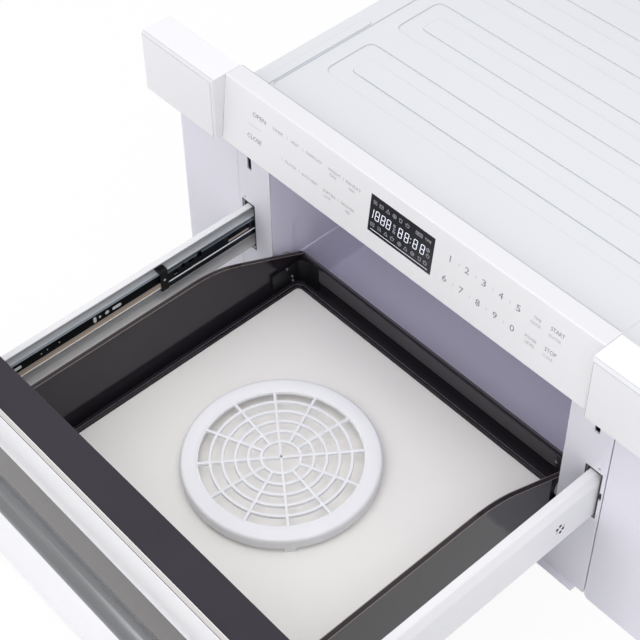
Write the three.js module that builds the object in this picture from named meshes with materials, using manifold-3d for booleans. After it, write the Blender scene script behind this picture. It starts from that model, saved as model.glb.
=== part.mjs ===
// Built-in microwave drawer, shown with its drawer fully out.
// Millimetres. +Z is up, the front faces -Y, X = 0 is the middle, Z = 0 is the shelf.
// Solids are drawn with Y = 0 on the chassis front plane; placing them centres the depth.
import * as THREE from 'three';
import { mergeVertices } from 'three/addons/utils/BufferGeometryUtils.js';
import Module from 'manifold-3d';

const wasm = await Module();
wasm.setup();

// ---- driving dimensions -------------------------------------------------
const gap = 0.3;
const sheet = 1.5;
const thinSheet = 1.2;
const frontWidth = 759;
const frontHalf = frontWidth / 2;

// width chain, from the ceramic plate out to the chassis side
const plateHalf = 200.6;
const ridgeWidth = 8.6;
const seatMargin = 5.3;
const panHalf = plateHalf + gap + ridgeWidth + seatMargin + sheet;
const cavityHalf = panHalf + 3.7;
const slideStart = cavityHalf + 30;
const bodyHalf = cavityHalf + 53.7;

// chassis box
const bodyBottom = 5;
const bodyDepth = 558;
const coverTop = 373;
const coverUnder = 370;
const skirtHeight = 18;
const frameThick = 2;
const cavityFloor = 62;
const cavityCeiling = 300;
const cavityBack = 445;
const sidePlane = bodyHalf - thinSheet - gap;

// control panel
const panelTop = 407;
const earBottom = 327;
const earFront = -40;
const earInner = 259.8;
const earChamfer = 3;
const shellWall = 2.5;
const fasciaHalf = earInner - gap;
const fasciaTopFront = -20.5;
const fasciaBottomFront = -30.5;
const fasciaBottom = 322.5;
const displayX = [-35, 53];
const displayZ = [344, 390];

// side fillers beside the chassis
const wingInner = bodyHalf + 0.9;
const wingOuter = frontHalf - 2;
const wingTop = 364;
const wingReturn = 22;
const wingChamfer = 6;

// drawer and its travel
const travel = 383;
const closedGap = 3;
const doorBack = -travel - closedGap;
const doorInnerFront = -423.6;
const doorFront = -430;
const doorHalf = 378;
const doorBottom = 4;
const doorTop = 317.4;
const doorInnerHalf = 318;
const doorInnerTop = 315.6;
const doorInnerBottom = 10;
const windowHalf = 300;
const windowZ = [130, 258];
const innerWindowHalf = plateHalf - 15.6;
const panFront = doorBack + 2.5;
const panBack = 44;
const panBottom = 84;
const panTop = 192;
const panRearTop = 130;
const panBend = -88;
const panBendReach = 32;
const panFlange = 6;
const panFlangeDepth = 2.5;
const panFrontWallTop = 128;
const plateBack = 22.6;
const plateFront = -368.2;
const plateTop = 95;
const plateCorner = 7;
const ridgeTop = 97;

// handle
const handleRadius = 12;
const handleHalf = 270;
const handleY = -468;
const handleZ = 281;
const postX = 235;
const postRadius = 8;

// telescopic slides: the drawer's member runs in the middle one, and that in the cabinet's
const railTop = 204.4;
const railBottom = 139.8;
const railEdge = slideStart + 3.4;
const railShoulder = slideStart + 11.5;
const railOuter = slideStart + 16.8;
const railChamferZ = 12;
const railRear = 100;
const slotInner = slideStart - 0.2;
const slotOuter = railOuter + 1.4;
const slotZ = [138.1, 206.4];
const memberThick = 1.3;
const memberLip = 1.8;
const outerMemberRear = 95;
const outerMemberX = [slideStart + 4.2, railOuter - sheet - gap];
const outerMemberZ = [164.4, 187.4];
const midMemberX = [slideStart + 2.2, slideStart + 13];
const midMemberY = [-126.7, 160];
const midMemberZ = [161.8, 191.2];
const fixedMemberX = [slideStart, slideStart + 12];
const fixedMemberY = [6, 480];
const fixedMemberZ = [158.6, 194.4];
const midCapLength = 10;

// drawer drive
const gearModule = 3;
const pinionTeeth = 8;
const pinionY = 40;
const pinionZ = [145, 153];
const rackPitchX = slideStart + 9;
const pinionX = rackPitchX - gearModule * pinionTeeth / 2;
const driveShaftRadius = 4;
const boreClearance = 0.08;

// microwave feed and cooling
const stirrerY = 225;
const stirrerShaftRadius = 4;
const feedHoleRadius = 30;
const blowerX = 140;
const blowerZ = 150;
const blowerRadius = 48;

// round rack
const rackX = -15;
const rackY = -169;
const rackRadius = 108.5;
const rackHeight = 19.5;
const rackRimInner = 0.818;
const rackRings = [0.195, 0.325, 0.452, 0.578, 0.7];
const rackSpokes = 12;
const rackTurn = 53.2;
const rackBar = 3.4;
const rackBarDepth = 4;
const rackFootHeight = 6.5;

// overall depth, from the handle's front to the supply gland's rear, centred on Y = 0
const glandBack = 17;
const glandSeat = 5.9;
const overallFront = handleY - handleRadius;
const overallBack = bodyDepth - glandSeat + glandBack;
const middleY = (overallFront + overallBack) / 2;

// ---- solid helpers --------------------------------------------------------
function toSolid(geometry) {
  const bare = geometry.clone();
  bare.deleteAttribute('normal');
  bare.deleteAttribute('uv');
  const merged = mergeVertices(bare, 1e-4);
  const index = merged.index.array;
  const spots = merged.attributes.position.array;
  const faces = [];
  let volume = 0;
  for (let i = 0; i < index.length; i += 3) {
    const [a, b, c] = [index[i], index[i + 1], index[i + 2]];
    if (a === b || b === c || a === c) continue;
    const p = new THREE.Vector3().fromArray(spots, a * 3);
    const q = new THREE.Vector3().fromArray(spots, b * 3);
    const r = new THREE.Vector3().fromArray(spots, c * 3);
    volume += p.dot(q.cross(r));
    faces.push(a, b, c);
  }
  if (volume < 0) faces.reverse();
  return new wasm.Manifold(new wasm.Mesh({
    numProp: 3,
    vertProperties: new Float32Array(spots),
    triVerts: new Uint32Array(faces),
  }));
}

// Closed outline; a third number on a point is how far its rounding reaches.
function outline(points) {
  const shape = new THREE.Shape();
  const count = points.length;
  for (let i = 0; i < count; i += 1) {
    const [u, v, reach = 0] = points[i];
    const before = points[(i + count - 1) % count];
    const after = points[(i + 1) % count];
    const toBefore = Math.hypot(before[0] - u, before[1] - v);
    const toAfter = Math.hypot(after[0] - u, after[1] - v);
    const enterU = u + (before[0] - u) * reach / toBefore;
    const enterV = v + (before[1] - v) * reach / toBefore;
    if (i === 0) shape.moveTo(enterU, enterV);
    else shape.lineTo(enterU, enterV);
    if (reach > 0) {
      const leaveU = u + (after[0] - u) * reach / toAfter;
      const leaveV = v + (after[1] - v) * reach / toAfter;
      shape.quadraticCurveTo(u, v, leaveU, leaveV);
    }
  }
  shape.closePath();
  return shape;
}

function rectangle(u0, u1, v0, v1, reach = 0) {
  return [[u0, v0, reach], [u1, v0, reach], [u1, v1, reach], [u0, v1, reach]];
}

const axisFrames = {
  x: [new THREE.Vector3(0, 1, 0), new THREE.Vector3(0, 0, 1), new THREE.Vector3(1, 0, 0)],
  y: [new THREE.Vector3(1, 0, 0), new THREE.Vector3(0, 0, 1), new THREE.Vector3(0, -1, 0)],
  z: [new THREE.Vector3(1, 0, 0), new THREE.Vector3(0, 1, 0), new THREE.Vector3(0, 0, 1)],
};

// Outline drawn across one axis and pushed along it from `start` to `end`.
function prism(axis, points, start, end, curveSegments = 4) {
  const options = { depth: end - start, bevelEnabled: false, curveSegments };
  const geometry = new THREE.ExtrudeGeometry(outline(points), options);
  geometry.applyMatrix4(new THREE.Matrix4().makeBasis(...axisFrames[axis]));
  if (axis === 'x') geometry.translate(start, 0, 0);
  if (axis === 'y') geometry.translate(0, end, 0);
  if (axis === 'z') geometry.translate(0, 0, start);
  return toSolid(geometry);
}

function block(x0, x1, y0, y1, z0, z1) {
  return prism('z', rectangle(Math.min(x0, x1), Math.max(x0, x1), y0, y1), z0, z1);
}

// Turned shape: profile of [radius, height] pairs about an axis through `at`.
function turned(axis, profile, at, segments = 24) {
  const points = profile.map(([r, h]) => new THREE.Vector2(r, h));
  const geometry = new THREE.LatheGeometry(points, segments);
  if (axis === 'x') geometry.rotateZ(-Math.PI / 2);
  if (axis === 'z') geometry.rotateX(Math.PI / 2);
  geometry.translate(...at);
  return toSolid(geometry);
}

function rod(axis, radius, start, end, cu, cv, segments = 20) {
  const profile = [[0, start], [radius, start], [radius, end], [0, end]];
  const at = { x: [0, cu, cv], y: [cu, 0, cv], z: [cu, cv, 0] }[axis];
  return turned(axis, profile, at, segments);
}

function joined(solids) {
  return solids.reduce((sum, solid) => sum.add(solid));
}

function less(solid, cutters) {
  return cutters.reduce((rest, cutter) => rest.subtract(cutter), solid);
}

function mirrored(side, a, b) {
  return side < 0 ? [-b, -a] : [a, b];
}

function mirroredPoints(side, points) {
  return points.map(([x, v, reach = 0]) => [side * x, v, reach]);
}

const assembly = new THREE.Group();
assembly.name = 'microwave_drawer';

function place(name, solid, [color, roughness, metalness]) {
  const raw = solid.getMesh();
  const geometry = new THREE.BufferGeometry();
  geometry.setAttribute('position', new THREE.BufferAttribute(raw.vertProperties.slice(), 3));
  geometry.setIndex(new THREE.BufferAttribute(raw.triVerts.slice(), 1));
  geometry.translate(0, -middleY, 0);
  geometry.computeVertexNormals();
  const material = new THREE.MeshStandardMaterial({ color, roughness, metalness });
  const mesh = new THREE.Mesh(geometry, material);
  mesh.name = name;
  assembly.add(mesh);
}

const whitePaint = ['#f3f3f4', 0.38, 0.0];
const lilacPaint = ['#d9d9e6', 0.45, 0.0];
const linerPaint = ['#b4b4cc', 0.4, 0.0];
const coverPaint = ['#dcdee4', 0.35, 0.1];
const zinc = ['#a9aeb4', 0.38, 1.0];
const darkZinc = ['#5c6168', 0.42, 1.0];
const blackPaint = ['#17151a', 0.16, 0.0];
const blackPlastic = ['#1a1a1d', 0.5, 0.0];
const whitePlastic = ['#f1f1f1', 0.4, 0.0];
const ceramic = ['#d9d8d4', 0.28, 0.0];
const darkGlass = ['#3a3533', 0.08, 0.0];
const brightSteel = ['#b9babc', 0.22, 1.0];
const circuit = ['#2c5a40', 0.55, 0.0];
const copper = ['#a8693a', 0.4, 1.0];
const aluminiumPlain = ['#c3c6c9', 0.35, 1.0];
const greyPlastic = ['#85868a', 0.5, 0.0];

const sides = [[-1, 'left'], [1, 'right']];

// ---- chassis ---------------------------------------------------------------
const trayHalf = sidePlane - sheet - gap;
const trayBack = bodyDepth - sheet - gap;
const trayTop = bodyBottom + sheet;
const trayFlange = 12;
const footRadius = 22;
const footReach = 16;
const footX = 205;
const footY = [60, 500];
const traySection = [
  [-trayHalf, bodyBottom], [trayHalf, bodyBottom], [trayHalf, bodyBottom + trayFlange],
  [trayHalf - sheet, bodyBottom + trayFlange], [trayHalf - sheet, trayTop], [-trayHalf + sheet, trayTop],
  [-trayHalf + sheet, bodyBottom + trayFlange], [-trayHalf, bodyBottom + trayFlange],
];
const trayParts = [prism('y', traySection, frameThick + gap, trayBack)];
for (const [side] of sides) {
  for (const y of footY) {
    const footProfile = [[0, 0], [footReach, 0], [footRadius, bodyBottom + 0.8], [0, bodyBottom + 0.8]];
    trayParts.push(turned('z', footProfile, [side * footX, y, 0], 12));
  }
}
for (const y of [150, 260, 370]) {
  const swage = rectangle(-170, 170, y, y + 30, 10);
  trayParts.push(prism('z', swage, trayTop - 0.7, trayTop + 1.8, 2));
}
const trayVents = [];
for (let i = 0; i < 7; i += 1) {
  const x = 98 + i * 13;
  trayVents.push(block(x, x + 6, 460, 540, bodyBottom - 1, trayTop + 1));
}
place('base_tray', less(joined(trayParts), trayVents), zinc);

const sideTop = coverUnder - gap;
for (const [side, tag] of sides) {
  const [x0, x1] = mirrored(side, sidePlane - sheet, sidePlane);
  const wall = block(x0, x1, frameThick + gap, trayBack, bodyBottom + gap, sideTop);
  const [f0, f1] = mirrored(side, sidePlane - 13, sidePlane);
  const lowTab = block(f0, f1, frameThick + gap, frameThick + gap + sheet, 20, 122);
  const highTab = block(f0, f1, frameThick + gap, frameThick + gap + sheet, 222, 352);
  const louvres = [];
  for (let i = 0; i < 12; i += 1) {
    const y = 330 + i * 16;
    louvres.push(block(x0 - 1, x1 + 1, y, y + 6, 252, 332));
  }
  place(`side_panel_${tag}`, less(joined([wall, lowTab, highTab]), louvres), zinc);
}

const glandX = -200;
const glandZ = 52;
const glandRadius = 11;
const backHoles = [rod('y', glandRadius + gap, bodyDepth - 5, bodyDepth + 5, glandX, glandZ, 16)];
for (let i = 0; i < 9; i += 1) {
  const x = blowerX - 50 + i * 11.5;
  backHoles.push(block(x, x + 6, bodyDepth - 5, bodyDepth + 5, blowerZ - 46, blowerZ + 46));
}
const backPlate = prism('y', rectangle(-sidePlane, sidePlane, bodyBottom + gap, sideTop, 3), bodyDepth - sheet, bodyDepth);
place('back_panel', less(backPlate, backHoles), zinc);

const glandProfile = [
  [0, 0], [glandRadius, 0], [glandRadius, 6], [15, 6.3], [15, 11], [12, 15], [7, glandBack], [0, glandBack],
];
place('supply_gland', turned('y', glandProfile, [glandX, bodyDepth - glandSeat, glandZ], 16), blackPlastic);

// cover: recessed field, long bead beside it and rounded ring grooves along X
const recess = { x: [-246, 243.5], y: [30, 530], depth: 1.2, corner: 7 };
const bead = { x: [-259, -247.5], front: 8, back: 183, rise: 1.2 };
const ring = { first: 89, pitch: 107.5, count: 4, half: 225.5, depth: 71, band: 21, corner: 11 };
const coverFront = frameThick + gap;
const skirtInner = bodyHalf - thinSheet;
const skirtBottom = coverUnder - skirtHeight;
const coverSection = [
  [-bodyHalf, skirtBottom], [-skirtInner, skirtBottom], [-skirtInner, coverUnder], [skirtInner, coverUnder],
  [skirtInner, skirtBottom], [bodyHalf, skirtBottom], [bodyHalf, coverTop, 1], [-bodyHalf, coverTop, 1],
];
const coverParts = [prism('y', coverSection, coverFront, bodyDepth, 2)];
const beadOutline = [
  [bead.x[0], bead.front, 5.6], [bead.x[1], bead.front, 5.6], [bead.x[1], bead.back, 5.6],
  [bead.x[0], bead.back, 5.6],
];
coverParts.push(prism('z', beadOutline, coverTop - 0.7, coverTop + bead.rise));
const recessFloor = coverTop - recess.depth;
const recessOutline = rectangle(recess.x[0], recess.x[1], recess.y[0], recess.y[1], recess.corner);
const coverCuts = [prism('z', recessOutline, recessFloor, coverTop + 5)];
for (let i = 0; i < ring.count; i += 1) {
  const y = ring.first + i * ring.pitch;
  const outer = rectangle(-ring.half, ring.half, y, y + ring.depth, ring.corner);
  const islandHalf = ring.half - ring.band;
  const islandBack = y + ring.depth - ring.band;
  const inner = rectangle(-islandHalf, islandHalf, y + ring.band, islandBack, ring.corner / 2);
  const groove = prism('z', outer, recessFloor - recess.depth, recessFloor + 1);
  const island = prism('z', inner, recessFloor - 2 * recess.depth, recessFloor + 2);
  coverCuts.push(groove.subtract(island));
}
place('top_cover', less(joined(coverParts), coverCuts), coverPaint);

// front frame: cavity opening, slide slots, latch slots and a forward lip below
const latchSlot = { x: [slideStart + 0.5, slideStart + 7.2], z: [261, 279] };
const lipReach = 8;
const frameCuts = [prism('y', rectangle(-cavityHalf, cavityHalf, cavityFloor, cavityCeiling, 5), -1, frameThick + 1)];
for (const [side] of sides) {
  const slot = mirroredPoints(side, rectangle(slotInner, slotOuter, slotZ[0], slotZ[1], 2));
  const notch = mirroredPoints(side, rectangle(slotOuter - 3, slotOuter + 4.2, 168, 180, 1));
  const latch = mirroredPoints(side, rectangle(latchSlot.x[0], latchSlot.x[1], latchSlot.z[0], latchSlot.z[1], 1.5));
  for (const shape of [slot, notch, latch]) {
    frameCuts.push(prism('y', shape, -1, frameThick + 1, 2));
  }
  frameCuts.push(rod('y', 1.8, -1, frameThick + 1, side * (slideStart + 14.4), 213, 8));
}
const frameOutline = rectangle(-bodyHalf, bodyHalf, bodyBottom, sideTop, 2);
const framePlate = less(prism('y', frameOutline, 0, frameThick), frameCuts);
const lipHalf = bodyHalf - 10.7;
const lip = prism('z', rectangle(-lipHalf, lipHalf, -lipReach, gap, 1), bodyBottom, bodyBottom + sheet);
place('front_frame', framePlate.add(lip), lilacPaint);

for (const [side, tag] of sides) {
  const folded = [
    [wingInner, gap, 1], [wingOuter, gap, 2], [wingOuter, wingReturn], [wingOuter - sheet, wingReturn],
    [wingOuter - sheet, gap + sheet], [wingInner + sheet, gap + sheet],
    [wingInner + sheet, wingReturn], [wingInner, wingReturn],
  ];
  const corner = [[wingInner - 1, -1], [wingInner + wingChamfer, -1], [wingInner - 1, wingChamfer]];
  const trimmed = prism('y', mirroredPoints(side, corner), -5, wingReturn + 5);
  const body = prism('z', mirroredPoints(side, folded), 0, wingTop, 3);
  place(`side_filler_${tag}`, less(body, [trimmed]), lilacPaint);
}

// cavity liner, open to the front
const linerOuter = cavityHalf + sheet;
const linerShell = block(
  -linerOuter, linerOuter, frameThick + gap, cavityBack + sheet, cavityFloor - sheet, cavityCeiling + sheet,
);
const linerHollow = prism('y', rectangle(-cavityHalf, cavityHalf, cavityFloor, cavityCeiling, 5), -5, cavityBack);
const feedHole = rod('z', feedHoleRadius, cavityCeiling - 5, cavityCeiling + 5, 0, stirrerY, 28);
const wallPanelY = [33, 405];
const wallPanelZ = [126, 189];
const wallPanelDepth = 1.4;
const wallPanels = [];
const wallPanelHollows = [];
for (const [side] of sides) {
  const [x0, x1] = mirrored(side, cavityHalf - 1, linerOuter + wallPanelDepth);
  const [h0, h1] = mirrored(side, cavityHalf - 3, cavityHalf + wallPanelDepth);
  wallPanels.push(prism('x', rectangle(
    wallPanelY[0] - sheet, wallPanelY[1] + sheet, wallPanelZ[0] - sheet, wallPanelZ[1] + sheet, 8,
  ), x0, x1, 1));
  wallPanelHollows.push(prism('x', rectangle(...wallPanelY, ...wallPanelZ, 7), h0, h1, 1));
}
const liner = less(joined([linerShell, ...wallPanels]), [linerHollow, feedHole, ...wallPanelHollows]);
place('cavity_liner', liner, linerPaint);

// ---- control panel ---------------------------------------------------------
for (const [side, tag] of sides) {
  const profile = [
    [0, earBottom], [0, panelTop], [earFront + earChamfer, panelTop], [earFront, panelTop - earChamfer],
    [earFront, earBottom, 1],
  ];
  const [x0, x1] = mirrored(side, earInner, frontHalf);
  const [h0, h1] = mirrored(side, earInner + shellWall, frontHalf - shellWall);
  const hollow = block(h0, h1, earFront + shellWall, 5, earBottom + shellWall, panelTop - shellWall);
  const edge = [
    [earInner - 1, earFront - 1], [earInner + earChamfer, earFront - 1], [earInner - 1, earFront + earChamfer],
  ];
  const bevel = prism('z', mirroredPoints(side, edge), earBottom - 5, panelTop + 5);
  place(`panel_end_${tag}`, less(prism('x', profile, x0, x1), [hollow, bevel]), whitePaint);
}

// Leaning front face: a point at height z, set back from the face by `back`.
const lean = (fasciaTopFront - fasciaBottomFront) / (panelTop - fasciaBottom);
const leanLength = Math.hypot(1, lean);
function onFace(z, back) {
  const y = fasciaTopFront - (panelTop - z) * lean;
  return [y + back / leanLength, z - back * lean / leanLength];
}
function slab(x0, x1, z0, z1, front, back) {
  const points = [onFace(z0, front), onFace(z1, front), onFace(z1, back), onFace(z0, back)];
  return prism('x', points, x0, x1);
}
const fasciaRear = 2;
const fasciaLip = 10;
const fasciaSkin = [
  [fasciaRear, panelTop], [fasciaTopFront, panelTop, 1.5], [fasciaBottomFront, fasciaBottom, 1],
  [fasciaBottomFront + fasciaLip, fasciaBottom], [fasciaBottomFront + fasciaLip, fasciaBottom + shellWall],
  [fasciaBottomFront + shellWall + 0.3, fasciaBottom + shellWall],
  [fasciaTopFront + shellWall - 0.3, panelTop - shellWall], [fasciaRear, panelTop - shellWall],
];
const fasciaEnd = [
  [-gap, panelTop - 1], [fasciaTopFront + 1, panelTop - 1], [fasciaBottomFront + 1, fasciaBottom + 1],
  [-gap, fasciaBottom + 1],
];
const fasciaParts = [prism('x', fasciaSkin, -fasciaHalf, fasciaHalf)];
for (const [side] of sides) {
  const [x0, x1] = mirrored(side, fasciaHalf - shellWall, fasciaHalf);
  fasciaParts.push(prism('x', fasciaEnd, x0, x1));
}
const pocket = slab(displayX[0], displayX[1], displayZ[0], displayZ[1], -2, 5);
place('control_fascia', less(joined(fasciaParts), [pocket]), whitePaint);
const displayPane = slab(
  displayX[0] + gap, displayX[1] - gap, displayZ[0] + gap, displayZ[1] - gap, -0.2, 2.4,
);
place('display_window', displayPane, ['#26262b', 0.12, 0.0]);

const boardX = [-215, 228];
const boardParts = [slab(boardX[0], boardX[1], 333, 396, 9, 10.6)];
boardParts.push(slab(displayX[0] + 2, displayX[1] - 2, displayZ[0] + 2, displayZ[1] - 2, 3.2, 9.3));
for (const x of [-180, -150, -96]) {
  boardParts.push(slab(x, x + 20, 344, 360, 10.3, 17));
}
boardParts.push(slab(120, 168, 340, 350, 10.3, 16));
boardParts.push(slab(-70, -50, 366, 386, 10.3, 13));
place('control_board', joined(boardParts), circuit);

const supportHalf = fasciaHalf - shellWall - 0.6;
const supportBack = -gap;
const supportPlate = block(-supportHalf, supportHalf, supportBack - sheet, supportBack, fasciaBottom + 4, panelTop - 3);
const supportHoles = [];
for (const x of [-230, -120, 120, 230]) {
  supportHoles.push(prism('y', rectangle(x - 14, x + 14, 345, 380, 6), -5, 5, 3));
}
place('panel_support', less(supportPlate, supportHoles), zinc);

// ---- telescopic slides -----------------------------------------------------
// Channel lying along Y: a web at `web`, flanges reaching to `edge`, and lips turned inwards.
function channel(side, web, edge, z, lip, y0, y1, thick) {
  const inward = Math.sign(web - edge);
  const webFace = web - inward * thick;
  const lipFace = edge + inward * thick;
  const lower = z[0] + thick;
  const upper = z[1] - thick;
  const low = [[web, z[0], 1.1], [edge, z[0], lip > 0 ? 0.6 : 0]];
  const high = [[edge, z[1], lip > 0 ? 0.6 : 0], [web, z[1], 1.1]];
  const lowInside = [[edge, lower], [webFace, lower]];
  const highInside = [[webFace, upper], [edge, upper]];
  if (lip > 0) {
    lowInside.splice(0, 1, [edge, lower + lip], [lipFace, lower + lip], [lipFace, lower]);
    highInside.splice(1, 1, [lipFace, upper], [lipFace, upper - lip], [edge, upper - lip]);
  }
  return prism('y', mirroredPoints(side, [...low, ...lowInside, ...highInside, ...high]), y0, y1, 3);
}

function webOpening(side, x0, x1, y, z, reach) {
  const [a, b] = mirrored(side, x0, x1);
  const round = Math.min(reach, (y[1] - y[0]) / 2 - 0.05, (z[1] - z[0]) / 2 - 0.05);
  return prism('x', rectangle(y[0], y[1], z[0], z[1], round), a, b, 2);
}

const outerWebOpenings = [
  [[-336, -326], [173.5, 179]], [[-229, -225], [169.5, 179]], [[-221.5, -218.5], [174, 177.5]],
  [[-213, -207], [173.5, 178.5]], [[-203, -190], [173.5, 178.5]], [[-66, -58], [173.5, 178.5]],
  [[-20, 0], [173.5, 178.5]], [[40, 48], [173.5, 178.5]],
];
const midWebOpenings = [
  [[-118, -112], [174, 182]], [[-107, -102], [177, 185]], [[-97, -88], [179, 184]],
  [[-93, -79], [169, 172.5]], [[-84, -77], [178, 187]], [[-38, -6], [172, 184]], [[20, 62], [172, 182]],
  [[96, 130], [172, 182]],
];

for (const [side, tag] of sides) {
  const supportX = [cavityHalf + sheet + 2.2, fixedMemberX[0] - gap];
  const supportY = [frameThick + 2, 482];
  const supportZ = [fixedMemberZ[0] + 6, fixedMemberZ[1] - 6];
  const carrier = channel(side, supportX[1], supportX[0], supportZ, 0, supportY[0], supportY[1], sheet);
  const foot = mirroredPoints(side, rectangle(supportX[0], supportX[1] - 1, supportZ[0] - 10, supportZ[1] + 16, 1));
  const tab = prism('y', foot, supportY[0], supportY[0] + sheet, 2);
  place(`slide_carrier_${tag}`, carrier.add(tab), zinc);

  // largest member, fixed to the cabinet: it opens outwards
  const fixed = channel(
    side, fixedMemberX[0], fixedMemberX[1], fixedMemberZ, memberLip, fixedMemberY[0], fixedMemberY[1], memberThick,
  );
  place(`slide_inner_${tag}`, fixed, zinc);

  // middle member: its punched web faces the pan
  const midCuts = midWebOpenings.map(([y, z]) => webOpening(side, midMemberX[0] - 1, midMemberX[0] + 2, y, z, 2));
  const mid = channel(
    side, midMemberX[0], midMemberX[1], midMemberZ, 0, midMemberY[0], midMemberY[1], memberThick,
  );
  place(`slide_middle_${tag}`, less(mid, midCuts), darkZinc);

  // plastic end cap round the middle member's mouth, open where the drawer's member runs through
  const capY = [midMemberY[0] - gap - midCapLength, midMemberY[0] - gap];
  const capZ = [midMemberZ[0] - 0.8, midMemberZ[1] + 1.6];
  const capPlate = outerMemberX[0] - 0.5;
  const capStep = fixedMemberX[1] - memberThick - gap;
  const mouthZ = [outerMemberZ[0] - 0.5, outerMemberZ[1] + 0.5];
  const capOutline = [
    [midMemberX[0] - 0.4, capZ[0], 1], [capStep, capZ[0]], [capStep, midMemberZ[0]],
    [midMemberX[1], midMemberZ[0]], [midMemberX[1], mouthZ[0]], [capPlate, mouthZ[0]],
    [capPlate, mouthZ[1]], [midMemberX[1], mouthZ[1]], [midMemberX[1], midMemberZ[1]],
    [capStep, midMemberZ[1]], [capStep, capZ[1]], [midMemberX[0] - 0.4, capZ[1], 1],
  ];
  place(`slide_cap_${tag}`, prism('y', mirroredPoints(side, capOutline), capY[0], capY[1], 3), blackPlastic);

  // smallest member, on the drawer's rail: it opens towards the pan
  const outerCuts = outerWebOpenings.map(([y, z]) => (
    webOpening(side, outerMemberX[1] - 3, outerMemberX[1] + 0.2, y, z, 2.4)
  ));
  const outer = channel(
    side, outerMemberX[1], outerMemberX[0], outerMemberZ, memberLip, doorBack + 6, outerMemberRear, memberThick,
  );
  place(`slide_outer_${tag}`, less(outer, outerCuts), zinc);

  // folded white carrier rail over the slide
  const t = sheet;
  const railProfile = [
    [railEdge, railTop, 0.5], [railShoulder, railTop, 2], [railOuter, railTop - railChamferZ, 2],
    [railOuter, railBottom, 0.6], [railEdge + 1.2, railBottom], [railEdge + 1.2, railBottom + t],
    [railOuter - t, railBottom + t], [railOuter - t, railTop - railChamferZ - 0.4, 1],
    [railShoulder - 0.8, railTop - t, 1], [railEdge, railTop - t],
  ];
  const railFront = doorBack + gap;
  const railBody = prism('y', mirroredPoints(side, railProfile), railFront, railRear, 3);
  const [tab0, tab1] = mirrored(side, railOuter - t, railOuter + 25.2);
  const railTab = prism('y', rectangle(tab0, tab1, railBottom, railTop - railChamferZ, 1), railFront, railFront + t, 2);
  const holes = [];
  const [hole0, hole1] = mirrored(side, railOuter - 3, railOuter + 1);
  for (const [dy, dz] of [[-5, -2], [5, 2], [-1.5, 4.5], [1.5, -4.5]]) {
    holes.push(rod('x', 1.6, hole0, hole1, -52 + dy, 165.5 + dz, 8));
  }
  for (const y of [-195, -216]) {
    holes.push(rod('x', 1.5, hole0, hole1, y, 168.5, 8));
  }
  place(`carrier_rail_${tag}`, less(joined([railBody, railTab]), holes), whitePaint);
}

// ---- drawer drive ----------------------------------------------------------
const toothPitch = Math.PI * gearModule;
const toothRoot = rackPitchX + 0.95 * gearModule;
const toothTip = rackPitchX - 0.8 * gearModule;
const barBack = railOuter - sheet - gap;
const barY = [-370, 95];
const barPoints = [[barBack, barY[1]], [barBack, barY[0]]];
const toothCount = Math.floor((barY[1] - barY[0]) / toothPitch);
// A rack space has its middle level with the pinion axis in the open pose.
const phase = ((pinionY - barY[0]) / toothPitch) % 1;
const firstTooth = barY[0] + (phase - 0.5 + (phase < 0.5 ? 1 : 0)) * toothPitch;
barPoints.push([toothRoot, barY[0]]);
for (let i = 0; i < toothCount; i += 1) {
  const y = firstTooth + (i + 0.5) * toothPitch - 0.5 * toothPitch;
  if (y - 0.36 * toothPitch <= barY[0] || y + 0.36 * toothPitch >= barY[1]) continue;
  barPoints.push([toothRoot, y - 0.34 * toothPitch], [toothTip, y - 0.13 * toothPitch]);
  barPoints.push([toothTip, y + 0.13 * toothPitch], [toothRoot, y + 0.34 * toothPitch]);
}
barPoints.push([toothRoot, barY[1]]);
place('drive_rack', prism('z', barPoints, pinionZ[0], pinionZ[1]), blackPlastic);

const pinionPitchRadius = gearModule * pinionTeeth / 2;
const pinionRoot = pinionPitchRadius - 1.1 * gearModule;
const pinionTip = pinionPitchRadius + 0.7 * gearModule;
const pinionPoints = [];
for (let i = 0; i < pinionTeeth; i += 1) {
  const step = 2 * Math.PI / pinionTeeth;
  for (const [turn, radius] of [[-0.3, pinionRoot], [-0.12, pinionTip], [0.12, pinionTip], [0.3, pinionRoot]]) {
    const angle = (i + turn) * step;
    pinionPoints.push([pinionX + radius * Math.cos(angle), pinionY + radius * Math.sin(angle)]);
  }
}
const pinionBore = rod('z', driveShaftRadius + boreClearance, 100, 200, pinionX, pinionY, 20);
place('drive_pinion', less(prism('z', pinionPoints, pinionZ[0], pinionZ[1]), [pinionBore]), whitePlastic);

const gearboxX = [pinionX - 19, pinionX + 22];
const motorX = pinionX + 1;
const gearbox = prism('z', rectangle(gearboxX[0], gearboxX[1], pinionY - 22, pinionY + 44, 5), 92, 135);
const motorCan = rod('y', 17, pinionY + 43, 140, motorX, 115, 18);
const motorTail = rod('y', 5, 139, 146, motorX, 115, 10);
const driveShaft = rod('z', driveShaftRadius, 134, pinionZ[1] + 3, pinionX, pinionY, 20);
const driveFoot = block(gearboxX[0] + 4, gearboxX[1] - 4, 24, 78, trayTop + gap, 93);
const driveFootHollow = block(gearboxX[0] + 8, gearboxX[1] - 8, 20, 82, trayTop + 4, 88);
const drive = joined([gearbox, motorCan, motorTail, driveShaft, less(driveFoot, [driveFootHollow])]);
place('drive_motor', drive, darkZinc);

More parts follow.
